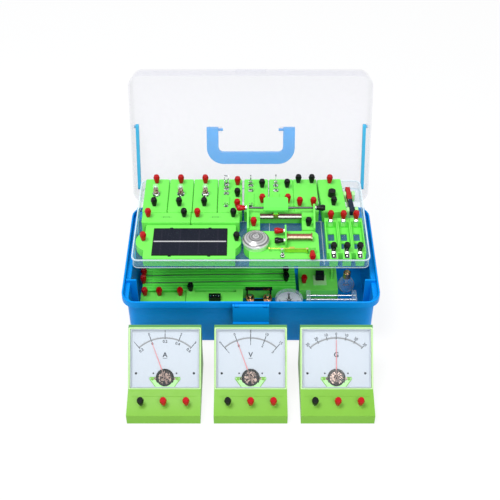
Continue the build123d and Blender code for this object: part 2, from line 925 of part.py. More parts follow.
# Double-throw blade: a fork of two strips over the middle clip, leaning back
fork_tilt = math.radians(blade_lean)
fork_inner = clip_gap / 2 + clip_leaf + side_gap
bridge_at = fork_length - fork_width / 2 + 1.0
with BuildPart() as double_blade:
    for side in (-1, 1):
        strip_x = double_place + double_offset + side * (fork_inner + fork_strip / 2)
        with BuildSketch(side_plane(strip_x)):
            with Locations(
                (
                    double_clip_y + (fork_length - fork_width / 2) / 2 * math.sin(fork_tilt),
                    blade_z + (fork_length - fork_width / 2) / 2 * math.cos(fork_tilt),
                )
            ):
                SlotCenterToCenter(fork_length - fork_width / 2, fork_width, rotation=90 - blade_lean)
            with Locations((double_clip_y, blade_z)):
                Circle(blade_pin + running_gap, mode=Mode.SUBTRACT)
        extrude(amount=fork_strip / 2, both=True)
    bridge_y = double_clip_y + bridge_at * math.sin(fork_tilt)
    bridge_z = blade_z + bridge_at * math.cos(fork_tilt)
    with Locations(Location((double_place + double_offset, bridge_y, bridge_z), (-blade_lean, 0, 0))):
        Box(2 * (fork_inner + fork_strip), 2.6, 1.6)
finish(double_blade, "double_blade")

# Round knob of the rotary resistor
with BuildPart() as rotary_knob:
    with BuildSketch(Plane.XY.offset(unit_top + side_gap)):
        with Locations((knob_place, dial_knob_y)):
            RegularPolygon(dial_knob_radius, 16)
    extrude(amount=dial_knob_height, taper=4)
    with Locations((knob_place, dial_knob_y + dial_knob_radius / 2, unit_top + side_gap + dial_knob_height)):
        Box(0.9, dial_knob_radius * 0.7, 0.8)
    with BuildSketch(Plane.XY.offset(unit_top)):
        with Locations((knob_place, dial_knob_y)):
            Circle(dial_shaft_radius + running_gap)
    extrude(amount=dial_shaft_height + 2 * side_gap, mode=Mode.SUBTRACT)
finish(rotary_knob, "rotary_knob")

# Cradle with four rounded ears, and the bar magnet lying in it
askew = Plane.XY.rotated((0, 0, right_turn)).offset(0)
magnet_frame = Plane(origin=(magnet_x, magnet_y, tray_floor), x_dir=askew.x_dir, z_dir=(0, 0, 1))
ear_in = magnet_width / 2 + ear_clear
with BuildPart() as magnet_cradle:
    with BuildSketch(magnet_frame):
        Rectangle(magnet_width + 1.0, cradle_length)
        with Locations((0, -ear_pitch / 2), (0, ear_pitch / 2)):
            Rectangle(2 * (ear_in + ear_thick), ear_long)
    extrude(amount=cradle_base)
    for side in (-1, 1):
        ear_plane = Plane(
            origin=magnet_frame.from_local_coords(Vector(side * (ear_in + ear_thick / 2), 0, 0)),
            x_dir=magnet_frame.y_dir,
            z_dir=magnet_frame.x_dir,
        )
        with BuildSketch(ear_plane):
            for end in (-1, 1):
                with Locations((end * ear_pitch / 2, ear_height / 2)):
                    Rectangle(ear_long, ear_height)
        extrude(amount=ear_thick / 2, both=True)
    across = Axis(magnet_frame.origin, magnet_frame.x_dir)
    fillet(magnet_cradle.edges().filter_by(across).group_by(Axis.Z)[-1], ear_long / 2 - 0.1)
finish(magnet_cradle, "magnet_cradle")

with BuildPart() as bar_magnet:
    with BuildSketch(magnet_frame.offset(cradle_base)):
        with Locations((0, magnet_shift)):
            Rectangle(magnet_width, magnet_length)
    extrude(amount=magnet_height)
    chamfer(bar_magnet.edges(), 0.5)
finish(bar_magnet, "bar_magnet")

# Resistor blocks
with BuildPart() as resistor_blocks:
    with BuildSketch(Plane.XY.offset(tray_floor)):
        with Locations(*[(x, resistor_row_y) for x in resistor_places]):
            RectangleRounded(resistor_length, resistor_depth, 2.0)
    extrude(amount=unit_height)
    chamfer(resistor_blocks.faces().group_by(Axis.Z)[-1].edges(), unit_edge)
    with BuildSketch(Plane.XY.offset(tray_floor)):
        with Locations(*[(x, resistor_row_y) for x in resistor_places]):
            Rectangle(resistor_length - 2 * unit_wall, resistor_depth - 2 * unit_wall)
    extrude(amount=unit_height - unit_wall, mode=Mode.SUBTRACT)
finish(resistor_blocks, "resistor_blocks")

# Rheostat frame: end blocks, tall end plates and a rear beam
with BuildPart() as rheostat_frame:
    for start in (rheo_left, rheo_right - rheo_block):
        with BuildSketch(side_plane(start)):
            with BuildLine():
                Polyline(
                    (rheo_front, tray_floor),
                    (rheo_rear, tray_floor),
                    (rheo_rear, tray_floor + rheo_high),
                    (rheo_step_y, tray_floor + rheo_high),
                    (rheo_step_y - 2.0, rheo_low_top),
                    (rheo_front, rheo_low_top),
                    close=True,
                )
            make_face()
        extrude(amount=rheo_block)
    for start in (rheo_left, rheo_right - rheo_plate):
        with BuildSketch(side_plane(start)):
            with BuildLine():
                Polyline(
                    (rheo_front, tray_floor),
                    (rheo_rear, tray_floor),
                    (rheo_rear, tray_floor + rheo_plate_height - 2.0),
                    (rheo_rear - 2.0, tray_floor + rheo_plate_height),
                    (rheo_step_y + 4.0, tray_floor + rheo_plate_height),
                    (rheo_step_y, tray_floor + rheo_plate_height - 5.0),
                    (rheo_front, rheo_low_top + 3.0),
                    close=True,
                )
            make_face()
            with Locations((rheo_rod_y, rod_z)):
                Circle(rheo_rod_radius + running_gap, mode=Mode.SUBTRACT)
        extrude(amount=rheo_plate)
    with BuildSketch(Plane.XY.offset(tray_floor)):
        with Locations(((rheo_left + rheo_right) / 2, rheo_rear - rheo_beam / 2)):
            Rectangle(rheo_right - rheo_left, rheo_beam)
    extrude(amount=rheo_high - rheo_beam_drop)
    with BuildSketch(side_plane(rheo_left + rheo_block - 1.3)):
        with Locations((rheo_tube_y, tube_z)):
            Circle(rheo_tube_radius + running_gap)
    extrude(amount=rheo_right - rheo_left - 2 * rheo_block + 2.6, mode=Mode.SUBTRACT)
finish(rheostat_frame, "rheostat_frame")

with BuildPart() as rheostat_rod:
    with Locations(((rheo_left + rheo_right) / 2, rheo_rod_y, rod_z)):
        Cylinder(rheo_rod_radius, rheo_right - rheo_left, rotation=(0, 90, 0))
finish(rheostat_rod, "rheostat_rod")

with BuildPart() as rheostat_tube:
    with Locations(((rheo_left + rheo_right) / 2, rheo_tube_y, tube_z)):
        Cylinder(rheo_tube_radius, rheo_right - rheo_left - 2 * rheo_block + 2.4, rotation=(0, 90, 0))
finish(rheostat_tube, "rheostat_tube")

# Slider with its rod bore and a contact tongue reaching down to the tube
slider_mid_y = (slider_front + slider_rear) / 2
with BuildPart() as rheostat_slider:
    with BuildSketch(Plane.XY.offset(tray_floor + slider_low)):
        with Locations((slider_middle, slider_mid_y)):
            RectangleRounded(slider_length, slider_rear - slider_front, 2.5)
    extrude(amount=slider_high - slider_low)
    chamfer(rheostat_slider.faces().sort_by(Axis.Z)[-1].edges(), 1.2)
    tongue_low = tube_z + rheo_tube_radius + side_gap
    tongue_high = tray_floor + slider_low + 1.0
    with Locations((slider_middle, rheo_tube_y, (tongue_low + tongue_high) / 2)):
        Box(tongue_length, tongue_depth, tongue_high - tongue_low)
    with Locations((slider_middle, rheo_rod_y, rod_z)):
        Cylinder(rheo_rod_radius + running_gap, slider_length, rotation=(0, 90, 0), mode=Mode.SUBTRACT)
finish(rheostat_slider, "rheostat_slider")

# Solar cell unit: a frame with a rounded ear at each side, and the dark panel set in it
with BuildPart() as solar_frame:
    with BuildSketch(Plane.XY.offset(tray_floor)):
        with Locations((solar_x, (solar_rear + unit_front) / 2)):
            RectangleRounded(solar_length, solar_rear - unit_front, 2.0)
        with Locations((solar_left_reach + solar_ear_radius, solar_ear_y)):
            Circle(solar_ear_radius)
        with Locations((solar_right_reach - solar_ear_radius, solar_ear_y)):
            Circle(solar_ear_radius)
    extrude(amount=low_height)
    with BuildSketch(Plane.XY.offset(tray_floor)):
        with Locations((solar_x, (solar_rear + unit_front) / 2)):
            Rectangle(solar_length - 4 * unit_wall, solar_rear - unit_front - 4 * unit_wall)
    extrude(amount=low_height - 2 * unit_wall, mode=Mode.SUBTRACT)
    with BuildSketch(Plane.XY.offset(low_top)):
        with Locations((solar_x, panel_y)):
            Rectangle(panel_length + 0.4, panel_width + 0.4)
    extrude(amount=-panel_sink, mode=Mode.SUBTRACT)
finish(solar_frame, "solar_frame")

with BuildPart() as solar_panel:
    with BuildSketch(Plane.XY.offset(low_top - panel_sink)):
        with Locations((solar_x, panel_y)):
            Rectangle(panel_length, panel_width)
    extrude(amount=panel_thick)
    for side in (-1, 1):
        for end in (-1, 1):
            tab_y = panel_y + end * (panel_width / 2 + 0.8)
            with Locations((solar_x + side * (panel_length / 4 + 1.2), tab_y, low_top + 0.5)):
                Box(panel_tab, 2.4, 1.0)
finish(solar_panel, "solar_panel")

# Electric bell: base with a round gong boss, an upright plate and a screw block
with BuildPart() as bell_base:
    with BuildSketch(Plane.XY.offset(tray_floor)):
        with BuildLine():
            Line((bell_left, unit_front), (bell_right, unit_front))
            Line((bell_right, unit_front), (bell_right, bell_rear - bell_corner))
            RadiusArc(
                (bell_right, bell_rear - bell_corner), (bell_right - bell_corner, bell_rear), -bell_corner
            )
            Line((bell_right - bell_corner, bell_rear), (bell_left, bell_rear))
            Line((bell_left, bell_rear), (bell_left, unit_front))
        make_face()
        with Locations((gong_x, gong_y)):
            Circle(boss_radius)
    extrude(amount=low_height)
    with BuildSketch(Plane.XY.offset(tray_floor)):
        with Locations(((bell_left + bell_right) / 2, (unit_front + bell_rear) / 2)):
            Rectangle(
                bell_right - bell_left - 2 * bell_corner, bell_rear - unit_front - 4 * unit_wall
            )
    extrude(amount=low_height - 2 * unit_wall, mode=Mode.SUBTRACT)
    with Locations((gong_x, gong_y, low_top + boss_height / 2)):
        Cylinder(boss_radius, boss_height)
        Cylinder(boss_radius - 2.0, boss_height, mode=Mode.SUBTRACT)
    gong_top = low_top + boss_height + gong_height
    seat_height = gong_top - gong_wall - low_top
    with Locations((gong_x, gong_y, low_top + seat_height / 2)):
        Cylinder(3.0, seat_height)
    with Locations((bell_plate_x, bell_coil_y, low_top + bell_plate_height / 2 - 0.5)):
        Box(bell_plate_thick, 2 * bell_plate_half, bell_plate_height + 1.0)
    with Locations((screw_x, spring_y + 0.6, low_top + screw_block_height / 2 - 0.5)):
        Box(screw_block_width, screw_block_depth, screw_block_height + 1.0)
finish(bell_base, "bell_base")

# Gong: a thin nickel dome with a ring and a cap nut
gong_low = low_top + boss_height + 0.3
with BuildPart() as bell_gong:
    with BuildSketch(Plane(origin=(gong_x, gong_y, 0), x_dir=(1, 0, 0), z_dir=(0, -1, 0))):
        with BuildLine():
            Line((0, gong_top + 1.6), (2.6, gong_top + 1.6))
            Line((2.6, gong_top + 1.6), (2.6, gong_top))
            Line((2.6, gong_top), (8.0, gong_top))
            Line((8.0, gong_top), (9.0, gong_top - 0.9))
            crown = ThreePointArc(
                (9.0, gong_top - 0.9),
                (15.6, gong_top - 3.0),
                (gong_radius, gong_low + 2.0),
                mode=Mode.PRIVATE,
            )
            Polyline(*stepped(crown, 6))
            Line((gong_radius, gong_low + 2.0), (gong_radius, gong_low))
            Line((gong_radius, gong_low), (gong_radius - gong_wall, gong_low))
            Line((gong_radius - gong_wall, gong_low), (gong_radius - gong_wall, gong_low + 1.6))
            hollow = ThreePointArc(
                (gong_radius - gong_wall, gong_low + 1.6),
                (14.8, gong_top - 3.9),
                (8.4, gong_top - gong_wall - 0.9),
                mode=Mode.PRIVATE,
            )
            Polyline(*stepped(hollow, 6))
            Line((8.4, gong_top - gong_wall - 0.9), (7.4, gong_top - gong_wall))
            Line((7.4, gong_top - gong_wall), (0, gong_top - gong_wall))
            Line((0, gong_top - gong_wall), (0, gong_top + 1.6))
        make_face()
    revolve(axis=Axis((gong_x, gong_y, 0), (0, 0, 1)))
finish(bell_gong, "bell_gong")

# Bell coil with an end flange at each side, carried by the upright plate
coil_start = bell_plate_x + bell_plate_thick / 2
with BuildPart() as bell_coil:
    with BuildSketch(side_plane(coil_start)):
        with Locations((bell_coil_y, coil_z)):
            Circle(coil_radius)
    extrude(amount=coil_end - coil_start)
    for start in (coil_start, coil_end - flange_thick):
        with BuildSketch(side_plane(start)):
            with Locations((bell_coil_y, coil_z)):
                Circle(flange_radius)
        extrude(amount=flange_thick)
finish(bell_coil, "bell_coil")

# Bell armature: a brass strip with an eye, an iron block and a thin clapper
armature_x = spring_left + 10.0
with BuildPart() as bell_armature:
    with BuildSketch(Plane.XY.offset(spring_z - spring_height / 2)):
        with Locations(((spring_left + spring_right) / 2, spring_y)):
            Rectangle(spring_right - spring_left, spring_thick)
        with Locations((spring_right, spring_y)):
            Circle(spring_eye)
            Circle(spring_pin + running_gap, mode=Mode.SUBTRACT)
    extrude(amount=spring_height)
    with Locations((armature_x, (spring_y + clapper_y) / 2 + 0.4, spring_z)):
        Box(armature_long, armature_deep, spring_height - 2.0)
    with BuildSketch(Plane(origin=(0, clapper_y, spring_z), x_dir=(1, 0, 0), z_dir=(0, -1, 0))):
        with BuildLine():
            Line((clapper_end - clapper_ball, 0), (armature_x, 0))
            Line((armature_x, 0), (armature_x, clapper_radius))
            Line((armature_x, clapper_radius), (clapper_end + 1.6, clapper_radius))
            Line((clapper_end + 1.6, clapper_radius), (clapper_end + 0.9, clapper_ball))
            Line((clapper_end + 0.9, clapper_ball), (clapper_end - 0.9, clapper_ball))
            Line((clapper_end - 0.9, clapper_ball), (clapper_end - clapper_ball, clapper_ball / 2))
            Line((clapper_end - clapper_ball, clapper_ball / 2), (clapper_end - clapper_ball, 0))
        make_face()
    revolve(axis=Axis((0, clapper_y, spring_z), (1, 0, 0)))
finish(bell_armature, "bell_armature")

# Battery holders: three troughs with windows in their floors
cell_mid_y = (unit_front + cell_rear) / 2
with BuildPart() as cell_holders:
    with BuildSketch(Plane.XY.offset(tray_floor)):
        for x in cell_places:
            with Locations((x, (cell_tongue_y + cell_rear) / 2)):
                Rectangle(cell_width, cell_rear - cell_tongue_y)
            with Locations((x, (cell_tongue_y + unit_front) / 2 + 0.5)):
                Rectangle(cell_tongue, cell_tongue_y - unit_front + 1.0)
    extrude(amount=cell_height)
    bay_mid = (cell_bay_front + cell_bay_rear) / 2
    with BuildSketch(Plane.XY.offset(tray_floor + cell_floor)):
        for x in cell_places:
            with Locations((x, bay_mid)):
                Rectangle(cell_width - 2 * cell_wall, cell_bay_rear - cell_bay_front)
    extrude(amount=cell_height, mode=Mode.SUBTRACT)
    with BuildSketch(Plane.XY.offset(tray_floor)):
        for x in cell_places:
            for y in cell_window_y:
                with Locations((x, y)):
                    Rectangle(cell_window, cell_window_long)
    extrude(amount=cell_floor, mode=Mode.SUBTRACT)
finish(cell_holders, "cell_holders")

# Sheet contacts of the battery holders
with BuildPart() as cell_contacts:
    for x in cell_places:
        with BuildSketch(side_plane(x - contact_width / 2)):
            with Locations((cell_bay_rear - contact_thick, cell_top)):
                Rectangle(cell_rear - cell_bay_rear, contact_thick, align=Align.MIN)
            with Locations((cell_bay_rear - contact_thick, cell_top - contact_drop)):
                Rectangle(contact_thick, contact_drop + contact_thick, align=Align.MIN)
            with Locations((unit_front + 2.0, cell_top)):
                Rectangle(cell_bay_front + contact_thick - unit_front - 2.0, contact_thick, align=Align.MIN)
            with Locations((cell_bay_front, cell_top - contact_drop)):
                Rectangle(contact_thick, contact_drop + contact_thick, align=Align.MIN)
        extrude(amount=contact_width)
finish(cell_contacts, "cell_contacts")

# Resistance wire board: a long hollow board with lengthwise grooves, set down askew
board_frame = Plane(origin=(board_x, board_y, case_floor), x_dir=Plane.XY.rotated((0, 0, board_turn)).x_dir)
board_length = board_right - board_left
with BuildPart() as wire_board:
    with BuildSketch(board_frame):
        Rectangle(board_length, board_depth)
    extrude(amount=board_height)
    with BuildSketch(board_frame):
        Rectangle(board_length - 4 * unit_wall, board_depth - 4 * unit_wall)
    extrude(amount=board_height - 2 * unit_wall, mode=Mode.SUBTRACT)
    with BuildSketch(board_frame.offset(board_height)):
        with GridLocations(0, groove_pitch, 1, groove_count):
            Rectangle(2 * board_post_half - 12.0, groove_width)
    extrude(amount=-groove_depth, mode=Mode.SUBTRACT)
finish(wire_board, "wire_board")

# Resistance wires stretched between the posts of the board
board_middle = board_x - 6.0
wire_span = board_post_half - stud_radius - 0.2
with BuildPart() as board_wires:
    for y in board_post_y:
        mid = board_frame.from_local_coords(
            Vector(board_middle - board_x, y - board_y, board_height + board_wire_radius + side_gap)
        )
        with Locations(Location(mid, (0, 0, board_turn))):
            Cylinder(board_wire_radius, 2 * wire_span, rotation=(0, 90, 0))
finish(board_wires, "board_wires")

# Bases of the post block, the relay and the magnet unit
with BuildPart() as case_unit_bases:
    with BuildSketch(Plane.XY.offset(case_floor)):
        with Locations(((block_left + block_right) / 2, (front_row_front + block_rear) / 2)):
            Rectangle(block_right - block_left, block_rear - front_row_front)
        with Locations(((mag_left + mag_right) / 2, (mag_front + mag_rear) / 2)):
            Rectangle(mag_right - mag_left, mag_rear - mag_front)
    extrude(amount=board_height)
    with BuildSketch(Plane.XY.offset(case_floor)):
        with Locations(((relay_left + relay_right) / 2, (front_row_front + relay_rear) / 2)):
            Rectangle(relay_right - relay_left, relay_rear - front_row_front)
    extrude(amount=relay_height)
    with BuildSketch(Plane.XY.offset(relay_top - relay_ear_thick)):
        with Locations((relay_left + relay_ear / 2, relay_rear + relay_ear_reach / 2 - 1.0)):
            RectangleRounded(relay_ear, relay_ear_reach + 2.0, 2.4)
        with Locations((relay_right - relay_ear / 2 + 1.0, relay_rear + relay_ear_reach / 2 - 1.6)):
            RectangleRounded(relay_ear - 2.0, relay_ear_reach + 0.8, 2.0)
    extrude(amount=relay_ear_thick)
    with Locations((upright_x, upright_y, board_top + upright_height / 2 - 0.5)):
        Box(upright_thick, upright_long, upright_height + 1.0)
finish(case_unit_bases, "case_unit_bases")

# Black former of the twin electromagnet, with the relay's black terminal block
coil_seat = case_floor + former_plate
with BuildPart() as coil_former:
    with BuildSketch(Plane.XY.offset(case_floor)):
        with Locations((magnet_coil_x, (former_front + former_rear) / 2)):
            Rectangle(former_width, former_rear - former_front)
    extrude(amount=former_plate)
    with BuildSketch(Plane.XY.offset(case_floor)):
        with Locations((magnet_coil_x, former_rear - former_back / 2)):
            Rectangle(former_width, former_back)
    extrude(amount=former_back_top - case_floor)
    for side in (-1, 1):
        for low in (0, bobbin_height + bobbin_flange_thick):
            with BuildSketch(Plane.XY.offset(coil_seat + low)):
                with Locations((magnet_coil_x + side * coil_spread / 2, magnet_coil_y)):
                    Circle(bobbin_flange)
            extrude(amount=bobbin_flange_thick)
        with BuildSketch(Plane.XY.offset(coil_seat)):
            with Locations((magnet_coil_x + side * coil_spread / 2, magnet_coil_y)):
                Circle(bobbin_radius)
        extrude(amount=bobbin_height + 2 * bobbin_flange_thick)
        with BuildSketch(Plane.XY.offset(coil_seat)):
            with Locations((magnet_coil_x + side * coil_spread / 2, magnet_coil_y)):
                Circle(core_radius + running_gap)
        extrude(amount=bobbin_height + 2 * bobbin_flange_thick, mode=Mode.SUBTRACT)
    with Locations((terminal_x, terminal_y, relay_top + terminal_height / 2)):
        Box(terminal_width, terminal_depth, terminal_height)
finish(coil_former, "coil_former")

with BuildPart() as coil_core:
    core_height = bobbin_height + 2 * bobbin_flange_thick + core_rise
    for side in (-1, 1):
        with Locations(
            (magnet_coil_x + side * coil_spread / 2, magnet_coil_y, coil_seat + core_height / 2)
        ):
            Cylinder(core_radius, core_height)
finish(coil_core, "coil_core")


# The windings: one unbroken wire a bobbin, each quarter turn made of two tangent arcs
def winding_path(x, y, low, radius, pitch, turns):
    """Lay the quarter turns of a coil about a vertical axis, with straight ends."""
    rise = pitch / (2 * math.pi)
    size = math.hypot(radius, rise)

    def spot(angle):
        place = (x + radius * math.cos(angle), y + radius * math.sin(angle), low + rise * angle)
        way = Vector(-radius * math.sin(angle), radius * math.cos(angle), rise) / size
        return Vector(*place), way

    first, first_way = spot(0)
    last, last_way = spot(2 * math.pi * turns)
    Line(first - first_way * wire_size, first)
    for quarter in range(4 * turns):
        start, start_way = spot(quarter * math.pi / 2)
        end, end_way = spot((quarter + 1) * math.pi / 2)
        gap = end - start
        ways = start_way + end_way
        reach = (
            -gap.dot(ways) + math.sqrt(gap.dot(ways) ** 2 + 2 * gap.dot(gap) * (1 - start_way.dot(end_way)))
        ) / (2 * (1 - start_way.dot(end_way)))
        join = (start + start_way * reach + end - end_way * reach) / 2
        TangentArc(start, join, tangent=start_way)
        TangentArc(join, end, tangent=(end - end_way * reach) - (start + start_way * reach))
    Line(last, last + last_way * wire_size)
    return first - first_way * wire_size, first_way


wire_radius = bobbin_radius + wire_gap + wire_size / 2
wire_low = coil_seat + bobbin_flange_thick + (bobbin_height - wire_pitch * wire_turns) / 2
with BuildPart() as coil_windings:
    for side in (-1, 1):
        with BuildLine() as wire_line:
            wire_start, wire_way = winding_path(
                magnet_coil_x + side * coil_spread / 2,
                magnet_coil_y,
                wire_low,
                wire_radius,
                wire_pitch,
                wire_turns,
            )
        with BuildSketch(Plane(origin=wire_start, x_dir=(1, 0, 0), z_dir=wire_way)):
            RegularPolygon(wire_size / 2, 4)
        sweep(path=wire_line.line)
finish(coil_windings, "coil_windings")

least = 1e9
wire_points = [
    (
        wire_radius * math.cos(step * math.pi / 18),
        wire_radius * math.sin(step * math.pi / 18),
        wire_pitch * step / 36,
    )
    for step in range(36 * wire_turns)
]
for near, point in enumerate(wire_points):
    for other in wire_points[near + 18 :]:
        least = min(least, math.dist(point, other) - wire_size)
print("winding, least gap to itself", round(least, 2), "mm, over", wire_turns, "turns")

# Compass: a clear round box with its dial and needle
compass_top = case_floor + compass_height
dial_z = compass_top - compass_dial_drop
with BuildPart() as compass_case:
    with Locations((compass_x, compass_y, case_floor + compass_height / 2)):
        Cylinder(compass_radius, compass_height)
    with Locations((compass_x, compass_y, compass_top - compass_dial_drop / 2)):
        Cylinder(compass_radius - compass_wall, compass_dial_drop, mode=Mode.SUBTRACT)
finish(compass_case, "compass_case")

with BuildPart() as compass_dial:
    with Locations((compass_x, compass_y, dial_z + compass_dial_thick / 2)):
        Cylinder(compass_radius - compass_wall - 0.3, compass_dial_thick)
    with Locations((compass_x, compass_y, dial_z + compass_dial_thick + 1.3)):
        Cylinder(needle_pivot, 2.6)
finish(compass_dial, "compass_dial")

needle_plane = Plane(origin=(compass_x, compass_y, dial_z + compass_dial_thick + 1.0))
with BuildPart() as compass_needle:
    with BuildSketch(needle_plane):
        with BuildLine():
            Polyline(
                (-needle_width / 2, 0),
                (0, -needle_length / 2),
                (needle_width / 2, 0),
                (0, needle_length / 2),
                close=True,
            )
        make_face()
        Circle(needle_pivot + running_gap, mode=Mode.SUBTRACT)
    extrude(amount=needle_thick)
finish(compass_needle, "compass_needle")

# Magnet unit: a pale plate with a dark block standing at its rear
with BuildPart() as magnet_plate:
    with Locations((mag_plate_x, mag_plate_y, board_top + mag_plate_thick / 2)):
        Box(mag_plate_size, mag_plate_size, mag_plate_thick)
finish(magnet_plate, "magnet_plate")

with BuildPart() as magnet_block:
    with Locations((mag_plate_x, mag_block_y, board_top + mag_plate_thick + mag_block_height / 2)):
        Box(mag_block_width, mag_block_depth, mag_block_height)
finish(magnet_block, "magnet_block")

# Clear stand with two metal rails
with BuildPart() as rail_stand:
    with BuildSketch(Plane.XY.offset(case_floor)):
        with Locations(((rail_left + rail_right) / 2, (rail_front + rail_rear) / 2)):
            Rectangle(rail_right - rail_left, rail_rear - rail_front)
    extrude(amount=rail_plate)
    for start in (rail_left, rail_right - rail_end):
        with BuildSketch(side_plane(start)):
            with BuildLine():
                Polyline(
                    (rail_front, case_floor),
                    (rail_rear, case_floor),
                    (rail_rear, case_floor + rail_end_height),
                    (rail_front + 8.0, case_floor + rail_end_height),
                    (rail_front, case_floor + 8.0),
                    close=True,
                )
            make_face()
            for y in rail_places:
                with Locations((y, case_floor + rail_rise)):
                    Circle(rail_radius + running_gap, mode=Mode.SUBTRACT)
        extrude(amount=rail_end)
finish(rail_stand, "rail_stand")

with BuildPart() as rail_bars:
    for y in rail_places:
        with Locations(((rail_left + rail_right) / 2, y, case_floor + rail_rise)):
            Cylinder(rail_radius, rail_right - rail_left, rotation=(0, 90, 0))
finish(rail_bars, "rail_bars")

# Spare bulb standing in the case, its cap upwards
with BuildPart() as bulb_glass:
    with BuildSketch(Plane(origin=(spare_x, spare_y, case_floor), x_dir=(1, 0, 0), z_dir=(0, -1, 0))):
        with BuildLine():
            Line((0, 0), (5.0, 0))
            globe = ThreePointArc(
                (5.0, 0), (spare_radius, spare_radius), (7.4, spare_height - 5.0), mode=Mode.PRIVATE
            )
            Polyline(*stepped(globe, 10))
            Line((7.4, spare_height - 5.0), (spare_cap_radius, spare_height))
            Line((spare_cap_radius, spare_height), (0, spare_height))
            Line((0, spare_height), (0, 0))
        make_face()
    revolve(axis=Axis((spare_x, spare_y, 0), (0, 0, 1)))
finish(bulb_glass, "bulb_glass")

with BuildPart() as bulb_cap:
    with Locations((spare_x, spare_y, case_floor + spare_height + spare_cap_height / 2)):
        Cylinder(spare_cap_radius, spare_cap_height)
    chamfer(bulb_cap.faces().sort_by(Axis.Z)[-1].edges(), 1.6)
finish(bulb_cap, "bulb_cap")

# Meter case, drawn once about its middle
head_drop = meter_face_wall / math.cos(tilt)
with BuildPart() as meter_form:
    with BuildSketch(side_plane(-meter_width / 2)):
        with BuildLine():
            Polyline(
                (meter_front, 0),
                (meter_front, meter_step),
                (dial_foot_y, meter_dial_foot),
                (dial_head_y, dial_head_z),
                (dial_head_y + meter_top, dial_head_z),
                (dial_head_y + meter_top + meter_back, 0),
                close=True,
            )
        make_face()
    extrude(amount=meter_width)
    with BuildSketch(side_plane(meter_wall - meter_width / 2)):
        with BuildLine():
            Polyline(
                (meter_front + meter_wall, 0),
                (meter_front + meter_wall, meter_step - meter_wall),
                (dial_foot_y, meter_dial_foot - head_drop),
                (dial_head_y + meter_top - meter_wall, dial_head_z + meter_top - meter_wall - head_drop),
                (dial_head_y + meter_top + meter_back - meter_wall, 0),
                close=True,
            )
        make_face()
    extrude(amount=meter_width - 2 * meter_wall, mode=Mode.SUBTRACT)
    with BuildSketch(dial_plane(0, 0)):
        with Locations((0, meter_dial / 2)):
            Rectangle(meter_width - 2 * cover_wall, meter_dial - 2 * cover_wall)
    extrude(amount=-cover_thick, mode=Mode.SUBTRACT)
    with BuildSketch(dial_plane(0, 0)):
        with Locations((0, meter_dial / 2)):
            Rectangle(meter_width - 2 * meter_wall, meter_dial - 2 * meter_wall)
    extrude(amount=-dial_step, mode=Mode.SUBTRACT)
    with BuildSketch(dial_plane(0, dial_step)):
        with Locations((0, movement_rise)):
            Circle(seat_ring - 0.3)
            Rectangle(3 * meter_width, 2 * (movement_rise - meter_wall), mode=Mode.INTERSECT)
    extrude(amount=seat_rise)
    with BuildSketch(dial_plane(0, 0)):
        with Locations((0, movement_rise)):
            Circle(movement_hole)
    extrude(amount=-2 * meter_face_wall, mode=Mode.SUBTRACT)

with BuildPart() as meter_cases:
    with Locations(*[(x, 0, 0) for x in meter_places]):
        add(meter_form.part)
finish(meter_cases, "meter_cases")

# Dials, clear covers and movements of the meters
with BuildPart() as meter_dials:
    for x in meter_places:
        with BuildSketch(dial_plane(x, dial_step)):
            with Locations((0, meter_dial / 2)):
                Rectangle(meter_width - 2 * meter_wall - 0.4, meter_dial - 2 * meter_wall - 0.4)
            with Locations((0, movement_rise)):
                Circle(seat_ring, mode=Mode.SUBTRACT)
        extrude(amount=dial_thick)
finish(meter_dials, "meter_dials")

with BuildPart() as meter_covers:
    for x in meter_places:
        with BuildSketch(dial_plane(x, cover_thick)):
            with Locations((0, meter_dial / 2)):
                Rectangle(meter_width - 2 * cover_wall - 0.4, meter_dial - 2 * cover_wall - 0.4)
        extrude(amount=cover_thick)
finish(meter_covers, "meter_covers")

with BuildPart() as meter_movements:
    for x in meter_places:
        with BuildSketch(dial_plane(x, meter_face_wall + movement_flange_thick)):
            with Locations((0, movement_rise)):
                Circle(movement_radius)
        extrude(amount=meter_face_wall + movement_flange_thick - movement_top)
        with BuildSketch(dial_plane(x, movement_top)):
            with Locations((0, movement_rise)):
                Circle(pointer_pivot)
        extrude(amount=movement_top - cover_thick - 0.5)
finish(meter_movements, "meter_movements")

# Pointers, each drawn at its own rest angle over the dial
pointer_labels = ("ammeter_needle", "voltmeter_needle", "galvanometer_needle")
for label, x, swing in zip(pointer_labels, meter_places, pointer_swings):
    over = dial_plane(x, pointer_depth)
    aim = math.radians(swing)
    pointer_plane = Plane(
        origin=over.from_local_coords(Vector(0, movement_rise, 0)),
        x_dir=over.x_dir * math.cos(aim) + over.y_dir * math.sin(aim),
        z_dir=over.z_dir,
    )
    with BuildPart() as pointer:
        with BuildSketch(pointer_plane):
            with BuildLine():
                Polyline(
                    (-pointer_width, -pointer_tail),
                    (pointer_width, -pointer_tail),
                    (pointer_width / 2, 0),
                    (0.3, pointer_length),
                    (-0.3, pointer_length),
                    (-pointer_width / 2, 0),
                    close=True,
                )
            make_face()
            Circle(pointer_hub)
            Circle(pointer_pivot + running_gap, mode=Mode.SUBTRACT)
        extrude(amount=pointer_thick)
    finish(pointer, label)

# A binding post: a hex stud and a knob with a double taper
with BuildPart() as stud_form:
    with BuildSketch():
        RegularPolygon(stud_radius, 6)
    extrude(amount=stud_height)

with BuildPart() as knob_form:
    with BuildSketch(Plane.XY.offset(stud_height)):
        RegularPolygon(knob_foot, knob_sides)
    with BuildSketch(Plane.XY.offset(stud_height + knob_waist)):
        RegularPolygon(knob_radius, knob_sides)
    with BuildSketch(Plane.XY.offset(stud_height + knob_height)):
        RegularPolygon(knob_crown, knob_sides)
    loft(ruled=True)

